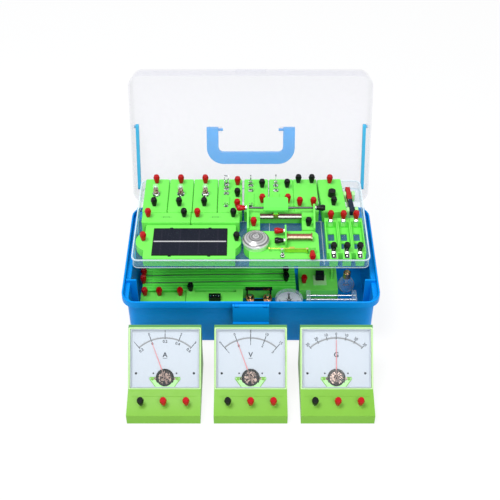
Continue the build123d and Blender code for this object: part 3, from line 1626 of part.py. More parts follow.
# Places of the posts on the tray
red_tray = [(x - 0.8, unit_row_y + 27.0, unit_top) for x in lamp_places]
black_tray = [(x - 0.8, unit_row_y - 25.0, unit_top) for x in lamp_places]
red_tray += [(double_place + 10.8, 113.0, unit_top), (double_place + 10.8, 61.4, unit_top)]
black_tray += [(double_place + 10.8, 86.0, unit_top)]
red_tray += [(x + 8.6, 72.6, unit_top) for x in single_places]
black_tray += [(x + 8.6, 106.8, unit_top) for x in single_places]
red_tray += [(four_post_place + side * 9.8, 65.6, unit_top) for side in (-1, 1)]
black_tray += [(four_post_place + side * 9.8, 117.8, unit_top) for side in (-1, 1)]
red_tray += [(knob_place - 1.8, 117.1, unit_top)]
black_tray += [(knob_place + 1.2, 66.7, unit_top)]
red_tray += [(x - resistor_posts, resistor_row_y, unit_top) for x in resistor_places]
black_tray += [(x + resistor_posts, resistor_row_y, unit_top) for x in resistor_places]
red_tray += [(rheo_left + rheo_post_inset, rheo_post_y, rheo_low_top)]
black_tray += [(rheo_right - rheo_post_inset, rheo_post_y, rheo_low_top)]
red_tray += [(solar_x - solar_posts, solar_ear_y, low_top)]
black_tray += [(solar_x + solar_posts, solar_ear_y, low_top)]
red_tray += [(x, cell_rear_post, cell_top + contact_thick) for x in cell_places]
black_tray += [(x, cell_front_post, cell_top + contact_thick) for x in cell_places]
plate_left = bell_plate_x - bell_plate_thick / 2
red_tray = [Location(place) for place in red_tray]
black_tray = [Location(place) for place in black_tray]
red_tray += [
    Location((rheo_left, rheo_rod_y, rod_z), (0, -90, 0)),
    Location((plate_left, bell_post_y[0], low_top + bell_post_rise), (0, -90, 0)),
    Location((screw_x, spring_y + 0.6 - screw_block_depth / 2, low_top + screw_rise), (90, 0, 0)),
]
black_tray += [
    Location((rheo_right, rheo_rod_y, rod_z), (0, 90, 0)),
    Location((plate_left, bell_post_y[1], low_top + bell_post_rise), (0, -90, 0)),
]

# Places of the posts in the case and on the meters
red_base = [Location((x, block_post_y, board_top)) for x in block_posts]
red_base += [Location((mag_post_x, mag_post_y, board_top))]
black_base = [Location((relay_left + relay_ear / 2, relay_post_y, relay_top))]
for y in board_post_y:
    for side, posts in ((-1, red_base), (1, black_base)):
        along = board_middle - board_x + side * board_post_half
        spot = board_frame.from_local_coords(Vector(along, y - board_y, board_height))
        posts.append(Location(spot))
for x in meter_places:
    for side, posts in ((-1, black_base), (0, red_base), (1, red_base)):
        spot = (x + side * meter_post_spread, meter_front + meter_post_along, meter_post_z)
        posts.append(Location(spot, (panel_slope, 0, 0)))

with BuildPart() as tray_red_knobs:
    with Locations(*red_tray):
        add(knob_form.part)
finish(tray_red_knobs, "tray_red_knobs")

with BuildPart() as tray_black_knobs:
    with Locations(*black_tray):
        add(knob_form.part)
finish(tray_black_knobs, "tray_black_knobs")

# Studs of the tray, with the bell's contact pillar and spring pin
with BuildPart() as tray_studs:
    with Locations(*(red_tray + black_tray)):
        add(stud_form.part)
    with Locations((pillar_x, spring_y, low_top + pillar_height / 2)):
        Cylinder(pillar_radius, pillar_height)
    with Locations((spring_right, spring_y, low_top + (spring_rise + spring_height) / 2)):
        Cylinder(spring_pin, spring_rise + spring_height)
finish(tray_studs, "tray_studs")

with BuildPart() as base_red_knobs:
    with Locations(*red_base):
        add(knob_form.part)
finish(base_red_knobs, "base_red_knobs")

with BuildPart() as base_black_knobs:
    with Locations(*black_base):
        add(knob_form.part)
finish(base_black_knobs, "base_black_knobs")

with BuildPart() as base_studs:
    with Locations(*(red_base + black_base)):
        add(stud_form.part)
finish(base_studs, "base_studs")

print("link foot", round(link_foot_y, 3), "length", round(link_length, 3), "angle", round(link_angle, 3))
print("arm angle", round(arm_open, 3), "turn", round(arm_turn, 3))
print("arm turn per degree of lid", round(arm_turn / lid_turn, 5))
print("lid pin", round(lid_pin.Y, 3), round(lid_pin.Z, 3), "pivot", round(pivot_z, 3))
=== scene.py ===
# %% [markdown]
# # An electricity and magnetism kit, dressed for the camera
# A clear tray of small green circuit units stands over the case, more units lie
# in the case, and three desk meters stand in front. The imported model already
# holds every solid in its place, so this lesson adds finishes and the fine
# pieces that a solid model leaves out.

# %% Load the frame
from math import cos, pi, radians, sin

import bmesh
import bpy
from mathutils import Matrix, Vector


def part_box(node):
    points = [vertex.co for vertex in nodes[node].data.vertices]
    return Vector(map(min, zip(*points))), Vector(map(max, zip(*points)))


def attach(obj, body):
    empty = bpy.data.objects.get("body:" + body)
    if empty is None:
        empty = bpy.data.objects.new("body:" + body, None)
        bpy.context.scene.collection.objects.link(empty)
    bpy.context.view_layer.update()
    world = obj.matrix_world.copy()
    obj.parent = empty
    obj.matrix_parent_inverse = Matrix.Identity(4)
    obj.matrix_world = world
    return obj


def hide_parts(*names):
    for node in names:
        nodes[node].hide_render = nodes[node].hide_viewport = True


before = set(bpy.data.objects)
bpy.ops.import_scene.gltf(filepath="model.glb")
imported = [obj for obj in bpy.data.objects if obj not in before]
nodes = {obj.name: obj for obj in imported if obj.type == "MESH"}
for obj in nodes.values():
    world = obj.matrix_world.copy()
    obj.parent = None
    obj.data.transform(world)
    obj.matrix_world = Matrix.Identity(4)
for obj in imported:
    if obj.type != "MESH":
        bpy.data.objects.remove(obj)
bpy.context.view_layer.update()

# %% [markdown]
# ## Writing shader sums as Python
# A finish is a small network of nodes. Laying every node by hand hides the sum it
# stands for, so a socket is wrapped in a class whose operators add Math nodes.
# The reflected forms let `1 - mask` work as well as `mask - 1`.

# %% A socket that takes part in sums


class Level:
    """One output socket of a finish, ready for arithmetic."""

    def __init__(self, finish, socket):
        self.finish = finish
        self.socket = socket

    def sum(self, operation, first, second):
        return self.finish.node("Math", {"operation": operation}, {0: first, 1: second})

    def __add__(self, other):
        return self.sum("ADD", self, other)

    def __sub__(self, other):
        return self.sum("SUBTRACT", self, other)

    def __mul__(self, other):
        return self.sum("MULTIPLY", self, other)

    def __radd__(self, other):
        return self.sum("ADD", other, self)

    def __rsub__(self, other):
        return self.sum("SUBTRACT", other, self)

    def __rmul__(self, other):
        return self.sum("MULTIPLY", other, self)

    def __gt__(self, other):
        return self.sum("GREATER_THAN", self, other)

    def __lt__(self, other):
        return self.sum("LESS_THAN", self, other)


# %% [markdown]
# ## One method for every other node
# Textures, ramps, bumps and mixes all come from `node`. It sets the settings first,
# because a Mix node's sockets depend on its data type, and then fills or links the
# sockets. `surface` ends the network in the Principled shader.

# %% A finish


class Finish:
    def __init__(self, name):
        self.material = bpy.data.materials.new(name)
        self.material.use_nodes = True
        self.tree = self.material.node_tree
        self.tree.nodes.clear()
        self.out = self.tree.nodes.new("ShaderNodeOutputMaterial")
        self.where = self.node("TexCoord", out="Object")

    def node(self, kind, settings=None, values=None, out=0):
        made = self.tree.nodes.new("ShaderNode" + kind)
        for key, value in (settings or {}).items():
            if key == "stops":
                ramp = made.color_ramp
                while len(ramp.elements) < len(value):
                    ramp.elements.new(0.5)
                for element, (place, colour) in zip(ramp.elements, value):
                    element.position = place
                    element.color = (*colour, 1)
            else:
                setattr(made, key, value)
        for key, value in (values or {}).items():
            if isinstance(value, Level):
                self.tree.links.new(value.socket, made.inputs[key])
            else:
                made.inputs[key].default_value = value
        return Level(self, made.outputs[out])

    def noise(self, scale, detail=3.0):
        return self.node("TexNoise", {}, {"Vector": self.where, "Scale": scale, "Detail": detail})

    def along(self, axis):
        return self.node("SeparateXYZ", {}, {0: self.where}, out=axis)

    def wave(self, level, per_metre):
        return self.node("Math", {"operation": "SINE"}, {0: level * (2 * pi * per_metre)})

    def mix(self, factor, *colours):
        low, high = (c if isinstance(c, Level) else (*c, 1) for c in colours)
        return self.node("Mix", {"data_type": "RGBA"}, {0: factor, 6: low, 7: high}, out=2)

    def bump(self, height, depth, strength=1.0):
        return self.node("Bump", {}, {"Strength": strength, "Distance": depth, "Height": height})

    def close(self, shader):
        self.tree.links.new(shader.socket, self.out.inputs["Surface"])
        return self.material

    def surface(self, **values):
        named = {key.replace("_", " "): value for key, value in values.items()}
        return self.close(self.node("BsdfPrincipled", {}, named))


def shade(colour, by):
    """The same colour, lighter or darker."""
    return tuple(min(1.0, part * by) for part in colour)


# %% [markdown]
# ## Moulded plastic
# Polypropylene and ABS mouldings are even in colour, but never perfectly so: the
# melt leaves faint clouds, the mould leaves a fine grain, and handling dulls the
# gloss in patches. Three noises give these, at the sizes they have on the real thing.
# A painted texture would do too, but noise fits every face without unwrapping.

# %% Plastics
cloud_scale, wear_scale, grain_scale = 28.0, 90.0, 1500.0
grain_depth = 0.00004


def plastic(name, colour, gloss=0.3, cloud=0.10, weight=0.16):
    finish = Finish(name)
    clouds = finish.noise(cloud_scale)
    pits = finish.noise(grain_scale, 2.0)
    wear = finish.noise(wear_scale, 5.0)
    body = finish.mix(clouds, shade(colour, 1 - cloud), shade(colour, 1 + cloud))
    return finish.surface(
        Base_Color=body,
        Roughness=wear * 0.16 + (gloss - 0.08),
        Specular_IOR_Level=weight,
        Normal=finish.bump(pits, grain_depth),
    )


case_blue = plastic("case_blue", (0.001, 0.25, 0.72), gloss=0.36, weight=0.08)
light_blue = plastic("light_blue", (0.03, 0.41, 0.95), gloss=0.34)
bar_blue = plastic("bar_blue", (0.05, 0.37, 0.60), gloss=0.34)
slider_green = plastic("slider_green", (0.14, 0.80, 0.10), gloss=0.36, cloud=0.05)
unit_green = plastic("unit_green", (0.17, 0.76, 0.10), gloss=0.36, cloud=0.06)
red_plastic = plastic("red_plastic", (0.40, 0.004, 0.006), gloss=0.2, cloud=0.14, weight=0.2)
black_plastic = plastic("black_plastic", (0.004, 0.006, 0.005), gloss=0.18, cloud=0.3, weight=0.2)
dark_block = plastic("dark_block", (0.008, 0.011, 0.014), gloss=0.4, cloud=0.25, weight=0.1)
# a pale green for the clear covers' rims, a painted highlight along their edges
cover_rim_highlight = plastic("cover_rim_highlight", (0.50, 0.74, 0.36), gloss=0.2, cloud=0.08)
pale_green = plastic("pale_green", (0.42, 0.80, 0.33), gloss=0.3, cloud=0.08)
print("plastics", len(bpy.data.materials))

# %% [markdown]
# ## The grooved board
# The long resistance board is the same green. Its stripes are real grooves in the
# solid. A slow band along Y, lighter and darker, lets the moulding's flow lines show,
# as on the real board, without drawing them one by one.

# %% Board green
flow_lines_per_metre = 178.0
finish = Finish("board_green")
flow = finish.wave(finish.along("Y") + finish.noise(6.0) * 0.002, flow_lines_per_metre)
board_green = finish.surface(
    Base_Color=finish.mix(flow * 0.5 + 0.5, (0.08, 0.76, 0.06), (0.18, 0.95, 0.13)),
    Roughness=finish.noise(120.0) * 0.2 + 0.28,
    Specular_IOR_Level=0.12,
    Normal=finish.bump(finish.noise(1400.0), grain_depth),
)
print("flow lines", round(1000 / flow_lines_per_metre, 1), "mm apart")

# %% [markdown]
# ## The meters' green
# The meters are a yellower green, with a darker green painted on their flat tops as
# shade. A second material on the top faces would do the same, but a mask on the
# height needs no picking of faces.

# %% Meter green
meter_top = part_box("meter_cases")[1][2]
finish = Finish("meter_green")
body = finish.mix(finish.noise(cloud_scale), (0.17, 0.40, 0.04), (0.195, 0.455, 0.05))
# the flat tops take a darker green, painted as shade
painted_shade_top = finish.along("Z") > meter_top - 0.0007
meter_green = finish.surface(
    Base_Color=finish.mix(painted_shade_top, body, (0.10, 0.28, 0.09)),
    Roughness=finish.noise(wear_scale, 5.0) * 0.16 + 0.3,
    Specular_IOR_Level=0.16,
    Normal=finish.bump(finish.noise(grain_scale, 2.0), grain_depth),
)
print("meter tops at", round(meter_top, 4), "m")

# %% [markdown]
# ## Clear mouldings
# The lid, the tray and the meter covers are clear styrene. Real refraction through
# thin walls costs many samples and gives almost nothing, so the walls are mostly
# see-through and turn more solid at grazing angles, where clear plastic shows its
# surface. Faint scuffs vary how much shows.

# %% Clear plastics


def clear_plastic(name, tint, least, most, gloss=0.06, scuff=0.03):
    finish = Finish(name)
    edge = finish.node("LayerWeight", {}, {"Blend": 0.35}, out="Facing")
    marks = finish.noise(160.0, 6.0)
    return finish.surface(
        Base_Color=finish.mix(marks, shade(tint, 0.94), tint),
        Roughness=marks * 0.08 + gloss,
        Alpha=edge * edge * (most - least) + least + marks * scuff,
        Normal=finish.bump(finish.noise(60.0), 0.00002),
    )


lid_clear = clear_plastic("lid_clear", (0.60, 0.59, 0.70), 0.12, 0.30)
tray_clear = clear_plastic("tray_clear", (0.34, 0.66, 0.82), 0.05, 0.60, scuff=0.04)
cover_clear = clear_plastic("cover_clear", (0.93, 0.96, 0.98), 0.02, 0.2, scuff=0.01)
stand_clear = clear_plastic("stand_clear", (0.80, 0.93, 0.94), 0.14, 1.2)
clear_edge = clear_plastic("clear_edge", (0.84, 0.93, 0.97), 0.42, 0.95, scuff=0.1)
lamp_glass = clear_plastic("lamp_glass", (0.95, 0.97, 0.98), 0.05, 1.1, gloss=0.02)
print("finishes so far", len(bpy.data.materials))

# %% [markdown]
# ## Plate and strip
# Studs, bars and pins are plated or bare metal, drawn or rolled. Noise stretched
# along Z gives the faint drawing lines, and a rounder noise stains the tint. The
# lines go to roughness and normal, so the metal stays fully metallic.

# %% Plate and strip
drawn_stretch = (60.0, 60.0, 900.0)


def plate_metal(name, colour, rough, cloud=0.12):
    finish = Finish(name)
    drawn = finish.node("Mapping", {}, {"Vector": finish.where, "Scale": drawn_stretch})
    lines = finish.node("TexNoise", {}, {"Vector": drawn, "Scale": 3.0, "Detail": 4.0})
    stain = finish.noise(140.0, 4.0)
    return finish.surface(
        Base_Color=finish.mix(stain, shade(colour, 1 - cloud), shade(colour, 1 + cloud)),
        Metallic=1.0,
        Roughness=lines * 0.14 + rough,
        Normal=finish.bump(lines, 0.000015),
    )


# %% [markdown]
# ## Gong plate
# Each polished step of the gong mirrors another part of a room. A real mirror would
# show nothing but this bright stage, so a ramp over the distance from the gong's
# middle gives the steps their greys, and a slow noise keeps the rings from being
# too perfect.

# %% Gong plate
gong_middle, gong_radius = (7.0, -10.0, 0.0), 19.0
grey = [0.9, 0.2, 0.62, 0.12, 0.34, 0.17, 0.5, 0.28, 0.62, 0.07, 0.75]
stops = [(i / (len(grey) - 1), (tone, tone, tone)) for i, tone in enumerate(grey)]
finish = Finish("gong_plate")
plan = {0: finish.where, 1: (1000, 1000, 0)}
flat = finish.node("VectorMath", {"operation": "MULTIPLY"}, plan)
away = finish.node("VectorMath", {"operation": "DISTANCE"}, {0: flat, 1: gong_middle}, out="Value")
share = away * (1 / gong_radius) + finish.noise(60.0) * 0.03
gong_finish = finish.surface(
    Base_Color=finish.node("ValToRGB", {"stops": stops}, {"Fac": share}),
    Metallic=0.5,
    Roughness=finish.noise(200.0) * 0.1 + 0.2,
)
print("gong greys", len(grey))

# %% [markdown]
# ## Small bright parts
# Studs are nickel, pins dark steel, and the armature is brass. A clip or a screw
# shell is bent in so many ways that it mirrors dark and light by turns. A noise with a
# sharp ramp paints those reflections into the colour, as dark and bright glints.

# %% Small bright parts
nickel = plate_metal("nickel", (0.72, 0.72, 0.73), 0.1)
dark_steel = plate_metal("dark_steel", (0.09, 0.10, 0.10), 0.3, cloud=0.3)
brass_strip = plate_metal("brass_strip", (0.62, 0.62, 0.12), 0.22, cloud=0.2)


def metal_with_painted_glints(name, dark, bright, scale, metallic=0.4):
    """Bright plate on a small bent part, with its reflections painted in as dark and bright glints.
    """
    finish = Finish(name)
    turns = finish.noise(scale, 1.0)
    glint = finish.node("ValToRGB", {"stops": [(0.48, dark), (0.55, bright)]}, {"Fac": turns})
    rough = finish.noise(300.0) * 0.2 + 0.14
    return finish.surface(Base_Color=glint, Metallic=metallic, Roughness=rough)


# clips, lamp screw shells and movement brackets carry painted reflections
bright_clip = metal_with_painted_glints("bright_clip", (0.015, 0.03, 0.02), (0.86, 0.88, 0.88), 420.0)
lamp_thread = metal_with_painted_glints(
    "lamp_thread", (0.09, 0.008, 0.008), (0.62, 0.40, 0.36), 700.0, metallic=0.1
)
movement_face = metal_with_painted_glints(
    "movement_face", (0.02, 0.012, 0.012), (0.44, 0.32, 0.27), 430.0, metallic=0.3
)
print("finishes so far", len(bpy.data.materials))

# %% [markdown]
# ## Wound wire
# The bell's coil and the rheostat's tube are wound with enamelled wire, with a painted
# highlight band along their length. The turns are too fine to model, so a wave along the
# tube tilts the light and paints shade into the hollows between turns. The spare bulb's
# copper cap takes a coarser wave for its screw thread, with the same painted shade.

# %% Wound wire


def wound_with_painted_highlight(name, low, high, dark, bright):
    """A wound tube with a band of painted highlight along its whole length."""
    finish = Finish(name)
    height = finish.along("Z") * 1000.0
    # the band between these two heights is a painted highlight
    highlight_band = (height > low) * (height < high)
    turn = finish.wave(finish.along("X"), 1500.0)
    # the hollows between turns are painted darker as shade, and the turns' tops lighter
    body = finish.mix(turn * 0.2 + 0.4, dark, shade(dark, 2.2))
    return finish.surface(
        Base_Color=finish.mix(highlight_band, body, bright),
        Metallic=0.25,
        Roughness=finish.noise(200.0) * 0.15 + 0.2,
        Normal=finish.bump(turn, 0.00004),
    )


# each coil carries a painted highlight band between the two heights given
bell_wire = wound_with_painted_highlight("bell_wire", 117.6, 119.9, (0.16, 0.05, 0.025), (0.95, 0.78, 0.66))
tube_wire = wound_with_painted_highlight("tube_wire", 114.3, 116.6, (0.07, 0.02, 0.02), (0.97, 0.95, 0.93))
copper_wire = plate_metal("copper_wire", (0.74, 0.34, 0.15), 0.2, cloud=0.18)
threads_per_metre = 420.0
finish = Finish("cap_metal")
turn = finish.wave(finish.along("Z"), threads_per_metre)
cap_metal = finish.surface(
    # the thread's hollows are painted darker as shade
    Base_Color=finish.mix(turn * 0.5 + 0.5, (0.4, 0.2, 0.1), (0.80, 0.50, 0.30)),
    Metallic=0.9,
    Roughness=finish.noise(200.0) * 0.12 + 0.18,
    Normal=finish.bump(turn, 0.00009),
)
print("cap threads", round(1000 / threads_per_metre, 1), "mm apart")

# %% [markdown]
# ## Pointer paint
# A pointer is pale red along its blade, with a bare metal hub at its lower end. The
# meters stand level, so one height parts the paint from the metal on all three.

# %% Pointer paint
needle_hub_top_z = 0.0395
finish = Finish("needle_paint")
blade = finish.along("Z") > needle_hub_top_z
tone = finish.noise(900.0)
red = finish.mix(tone, (0.62, 0.16, 0.18), (0.74, 0.26, 0.28))
needle_red = finish.surface(
    Base_Color=finish.mix(blade, (0.20, 0.13, 0.11), red),
    Roughness=tone * 0.2 + 0.35,
)
print("hubs end at", needle_hub_top_z, "m")

# %% [markdown]
# ## Card and ink
# The dials are printed card, with a faint fibre. The ink could be painted into the
# card's colour, but it lies on it as thin shapes of its own, so it stays sharp at
# any distance.

# %% Card and ink
finish = Finish("white_card")
fibre = finish.noise(700.0, 6.0)
white_card = finish.surface(
    Base_Color=finish.mix(fibre, (0.49, 0.54, 0.60), (0.53, 0.58, 0.635)),
    Roughness=fibre * 0.2 + 0.45,
    Specular_IOR_Level=0.1,
    Normal=finish.bump(fibre, 0.00001),
)


def ink(name, colour):
    finish = Finish(name)
    spread = finish.noise(2600.0, 3.0)
    return finish.surface(
        Base_Color=finish.mix(spread, shade(colour, 0.8), shade(colour, 1.25)),
        Roughness=spread * 0.2 + 0.5,
        Specular_IOR_Level=0.1,
    )


dark_ink = ink("dark_ink", (0.015, 0.02, 0.03))
grey_ink = ink("grey_ink", (0.25, 0.26, 0.27))
print("finishes so far", len(bpy.data.materials))

# %% [markdown]
# ## Magnet paint
# The bar magnet is dipped in red and navy paint by halves, and chips show the steel.
# A mask on Y parts the halves, and the peaks of a noise are the chips.

# %% Magnet paint
magnet_middle_y = 0.0885
finish = Finish("magnet_paint")
wear = finish.noise(220.0, 5.0)
north = finish.along("Y") > magnet_middle_y
chips = wear > 0.72
paint = finish.mix(north, (0.010, 0.018, 0.036), (0.40, 0.016, 0.016))
magnet_coat = finish.surface(
    Base_Color=finish.mix(chips, paint, (0.3, 0.3, 0.3)),
    Roughness=wear * 0.3 + 0.25,
    Specular_IOR_Level=0.15,
    Normal=finish.bump(wear, 0.00005),
)
print("paint halves meet at", magnet_middle_y, "m")

# %% [markdown]
# ## Solar glaze
# The solar cell is glazed silicon with faint current-collecting lines. They are far
# thinner than a step worth modelling, so two waves draw them: a narrow one parts the
# cells, and a fine one gives the fingers.

# %% Solar glaze
finish = Finish("solar_glaze")
cells = finish.wave(finish.along("X"), 38.0) > 0.985
fingers = finish.wave(finish.along("Y"), 900.0)
crystal = finish.mix(finish.noise(45.0), (0.004, 0.006, 0.012), (0.009, 0.012, 0.021))
lined = finish.mix(fingers * 0.06 + 0.06, crystal, (0.05, 0.05, 0.08))
solar_cell = finish.surface(
    Base_Color=finish.mix(cells, lined, (0.016, 0.017, 0.028)),
    Roughness=finish.noise(80.0) * 0.1 + 0.22,
    Specular_IOR_Level=0.08,
)
print("finishes", len(bpy.data.materials))

# %% [markdown]
# ## Dressing the solids
# Each node of the frame takes one finish, but for the eight that finer pieces stand
# for later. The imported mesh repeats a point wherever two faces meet, so a Weld
# modifier joins them first, and an Edge Split keeps the real corners crisp while
# round forms shade smoothly. No point is moved.

# %% Give each node its finish
finish_of = {
    case_blue: "latch_flap",
    light_blue: "lid_handle",
    bar_blue: "link_bars rear_arms front_arms",
    lid_clear: "lid_shell",
    tray_clear: "tray_shell",
    cover_clear: "meter_covers",
    stand_clear: "rail_stand compass_case",
    lamp_glass: "bulb_glass",
    unit_green: "unit_bases resistor_blocks rheostat_frame solar_frame bell_base cell_holders "
    "case_unit_bases",
    board_green: "wire_board",
    pale_green: "magnet_cradle magnet_plate",
    meter_green: "meter_cases",
    red_plastic: "tray_red_knobs base_red_knobs",
    black_plastic: "tray_black_knobs base_black_knobs rotary_knob",
    dark_block: "magnet_block meter_movements",
    white_card: "compass_dial",
    needle_red: "ammeter_needle voltmeter_needle galvanometer_needle",
    magnet_coat: "bar_magnet",
    solar_cell: "solar_panel",
    nickel: "coil_core rail_bars base_studs tray_studs cell_contacts",
    bright_clip: "switch_clips blade_a blade_b double_blade",
    dark_steel: "hinge_pins board_wires rheostat_rod compass_needle",
    brass_strip: "bell_armature",
    bell_wire: "bell_coil",
    tube_wire: "rheostat_tube",
    cap_metal: "bulb_cap",
}
corner_angle = radians(32)
weld_distance = 0.000002
for finish, names in finish_of.items():
    for name in names.split():
        piece = nodes[name]
        piece.data.materials.clear()
        piece.data.materials.append(finish)
        if piece.data.has_custom_normals:
            piece.data.attributes.remove(piece.data.attributes["custom_normal"])
        piece.data.shade_smooth()
        weld = piece.modifiers.new("weld", "WELD")
        weld.merge_threshold = weld_distance
        split = piece.modifiers.new("corners", "EDGE_SPLIT")
        split.split_angle = corner_angle
        split.use_edge_sharp = False
dressed = {name for names in finish_of.values() for name in names.split()}
print("dressed", len(dressed), "bare", sorted(set(nodes) - dressed))

# %% [markdown]
# ## Gathering the faces of a fine piece
# The added pieces are cut sheets, turned forms, bent wires and printed words. Each
# is drawn in millimetres on a work plane, and one class turns the drawing into
# faces. A mesh built this way has only the faces that the piece needs.

# %% A piece in the making
MM = 0.001


def work_plane(origin, across=(1, 0, 0), up=(0, 0, 1)):
    """A plane to draw on: x runs along across, and height is measured along up."""
    z = Vector(up).normalized()
    x = Vector(across)
    x = (x - z * x.dot(z)).normalized()
    y = z.cross(x)
    turn = Matrix((x, y, z)).transposed().to_4x4()
    return Matrix.Translation(Vector(origin)) @ turn


def placed(name, data):
    """A new object of the scene, made from its data."""
    made = bpy.data.objects.new(name, data)
    bpy.context.scene.collection.objects.link(made)
    return made


def at(plane, x, y, z=0.0):
    """The same plane with its origin moved along its own directions."""
    return plane @ Matrix.Translation((x, y, z))


def aimed(plane, angle):
    """The same plane with y turned clockwise by some degrees."""
    return plane @ Matrix.Rotation(radians(-angle), 4, "Z")


def leaning(angle):
    """The up direction of a plane that slopes towards the reader."""
    return (0, -sin(angle), cos(angle))


class Drawing:
    """Gathers the faces of one piece, in millimetres."""

    def __init__(self):
        self.mesh = bmesh.new()

    def points(self, plane, spots):
        return [self.mesh.verts.new(plane @ Vector(spot)) for spot in spots]

    def join(self, rings):
        """Faces from ring to ring, all of as many points. A tip repeats its one point."""
        for first, second in zip(rings, rings[1:]):
            for i in range(len(first)):
                j = (i + 1) % len(first)
                face = list(dict.fromkeys((first[i], first[j], second[j], second[i])))
                if len(face) > 2:
                    self.mesh.faces.new(face)

    def sheet(self, plane, outline, low, high):
        """A cut sheet with the given outline, between two heights."""
        floor = self.points(plane, [(x, y, low) for x, y in outline])
        roof = self.points(plane, [(x, y, high) for x, y in outline])
        self.mesh.faces.new(roof)
        self.mesh.faces.new(floor[::-1])
        self.join([floor, roof])

    def band(self, plane, outer, inner, low, high):
        """A sheet with a hole, from two outlines of as many points."""
        rings = [
            self.points(plane, [(x, y, z) for x, y in ring])
            for ring, z in ((outer, low), (outer, high), (inner, high), (inner, low))
        ]
        self.join(rings + rings[:1])

    def stacked(self, rows, steps=6):
        """A moulding through rounded rectangles: half length, half depth, corner and height."""
        rings = [
            self.points(Matrix(), [(x, y, z) for x, y in rounded(2 * a, 2 * b, corner, steps)])
            for a, b, corner, z in rows
        ]
        self.join(rings)
        self.mesh.faces.new(rings[0][::-1])
        self.mesh.faces.new(rings[-1])

    def arc(self, plane, outer, inner, angles, low, high, steps=40):
        """Part of a flat ring, between two angles counted from the right."""
        out = ring_line(outer, *angles, steps)
        back = ring_line(inner, *angles, steps)
        for i in range(steps):
            self.sheet(plane, [out[i], out[i + 1], back[i + 1], back[i]], low, high)

    def turned(self, plane, profile, steps=32):
        """A turned form: the profile lists (radius, height) from one end to the other."""
        rings = []
        for radius, height in profile:
            if radius < 1e-6:
                rings.append(self.points(plane, [(0, 0, height)]) * steps)
                continue
            angles = [2 * pi * i / steps for i in range(steps)]
            spots = [(radius * cos(a), radius * sin(a), height) for a in angles]
            rings.append(self.points(plane, spots))
        self.join(rings)

    def wire(self, plane, path, radius, sides=8):
        """A round wire along a path of points on the plane."""
        spots = [plane @ Vector(spot) for spot in path]
        rings = []
        side = None
        for i, spot in enumerate(spots):
            way = (spots[min(i + 1, len(spots) - 1)] - spots[max(i - 1, 0)]).normalized()
            if side is None:
                side = way.orthogonal().normalized()
            side = (side - way * side.dot(way)).normalized()
            over = way.cross(side)
            ring = []
            for k in range(sides):
                a = 2 * pi * k / sides
                away = spot + side * cos(a) * radius
                ring.append(self.mesh.verts.new(away + over * sin(a) * radius))
            rings.append(ring)
        self.mesh.faces.new(rings[0][::-1])
        self.mesh.faces.new(rings[-1])
        self.join(rings)

    def words(self, plane, text, size, lift):
        """Printed characters, centred on the plane's origin."""
        curve = bpy.data.curves.new("words", "FONT")
        curve.body = text
        curve.size = size
        curve.align_x = "CENTER"
        curve.align_y = "CENTER"
        curve.resolution_u = 3
        curve.offset = size * 0.022
        holder = placed("words", curve)
        bpy.context.view_layer.update()
        flat = bpy.data.meshes.new_from_object(holder)
        flat.transform(plane @ Matrix.Translation((0, 0, lift)))
        self.mesh.from_mesh(flat)
        bpy.data.objects.remove(holder)
        bpy.data.curves.remove(curve)
        bpy.data.meshes.remove(flat)

    def done(self, name, finish, body, slot, stands_for=()):
        """Make the object, in metres, riding on its body."""
        bmesh.ops.recalc_face_normals(self.mesh, faces=self.mesh.faces)
        bmesh.ops.scale(self.mesh, vec=(MM, MM, MM), verts=self.mesh.verts)
        data = bpy.data.meshes.new(name)
        self.mesh.to_mesh(data)
        self.mesh.free()
        data.materials.append(finish)
        data.shade_smooth()
        data.set_sharp_from_angle(angle=corner_angle)
        piece = placed(name, data)
        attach(piece, body)
        if stands_for:
            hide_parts(*stands_for)
        print(name, "faces", len(data.polygons))
        return piece


def patch(left, right, low, high):
    """The outline of a plain rectangle."""
    return [(left, low), (right, low), (right, high), (left, high)]


def rounded(width, height, radius, steps=5, middle=(0, 0)):
    """The outline of a rounded rectangle."""
    outline = []
    for quarter in range(4):
        way = quarter * pi / 2
        cx = middle[0] + (width / 2 - radius) * (1 if quarter in (0, 3) else -1)
        cy = middle[1] + (height / 2 - radius) * (1 if quarter in (0, 1) else -1)
        for step in range(steps + 1):
            a = way + step * pi / 2 / steps
            outline.append((cx + radius * cos(a), cy + radius * sin(a)))
    return outline


def ring_line(radius, start=0.0, end=360.0, steps=48, middle=(0, 0)):
    """Points along part of a circle, angles counted from the right."""
    return [
        (
            middle[0] + radius * cos(radians(start + (end - start) * i / steps)),
            middle[1] + radius * sin(radians(start + (end - start) * i / steps)),
        )
        for i in range(steps + 1)
    ]


# %% [markdown]
# ## The case and its stepped mouth
# The case is one deep moulding with an even wall. Near the top the wall steps
# outwards, which stiffens the mouth and leaves a narrow rim that the lid sits on.
# A run of rounded rectangles from the inside of the floor, over the rim and back
# under the floor gives the whole shell, with every edge softened by one more row.

# %% Case shell
case_half = (175.0, 99.0)
case_corner = 20.0
case_high = 86.0
wall_step = 6.5
wall = 2.5
skirt_low, band_low = 75.0, 70.0

body_in = wall_step + wall
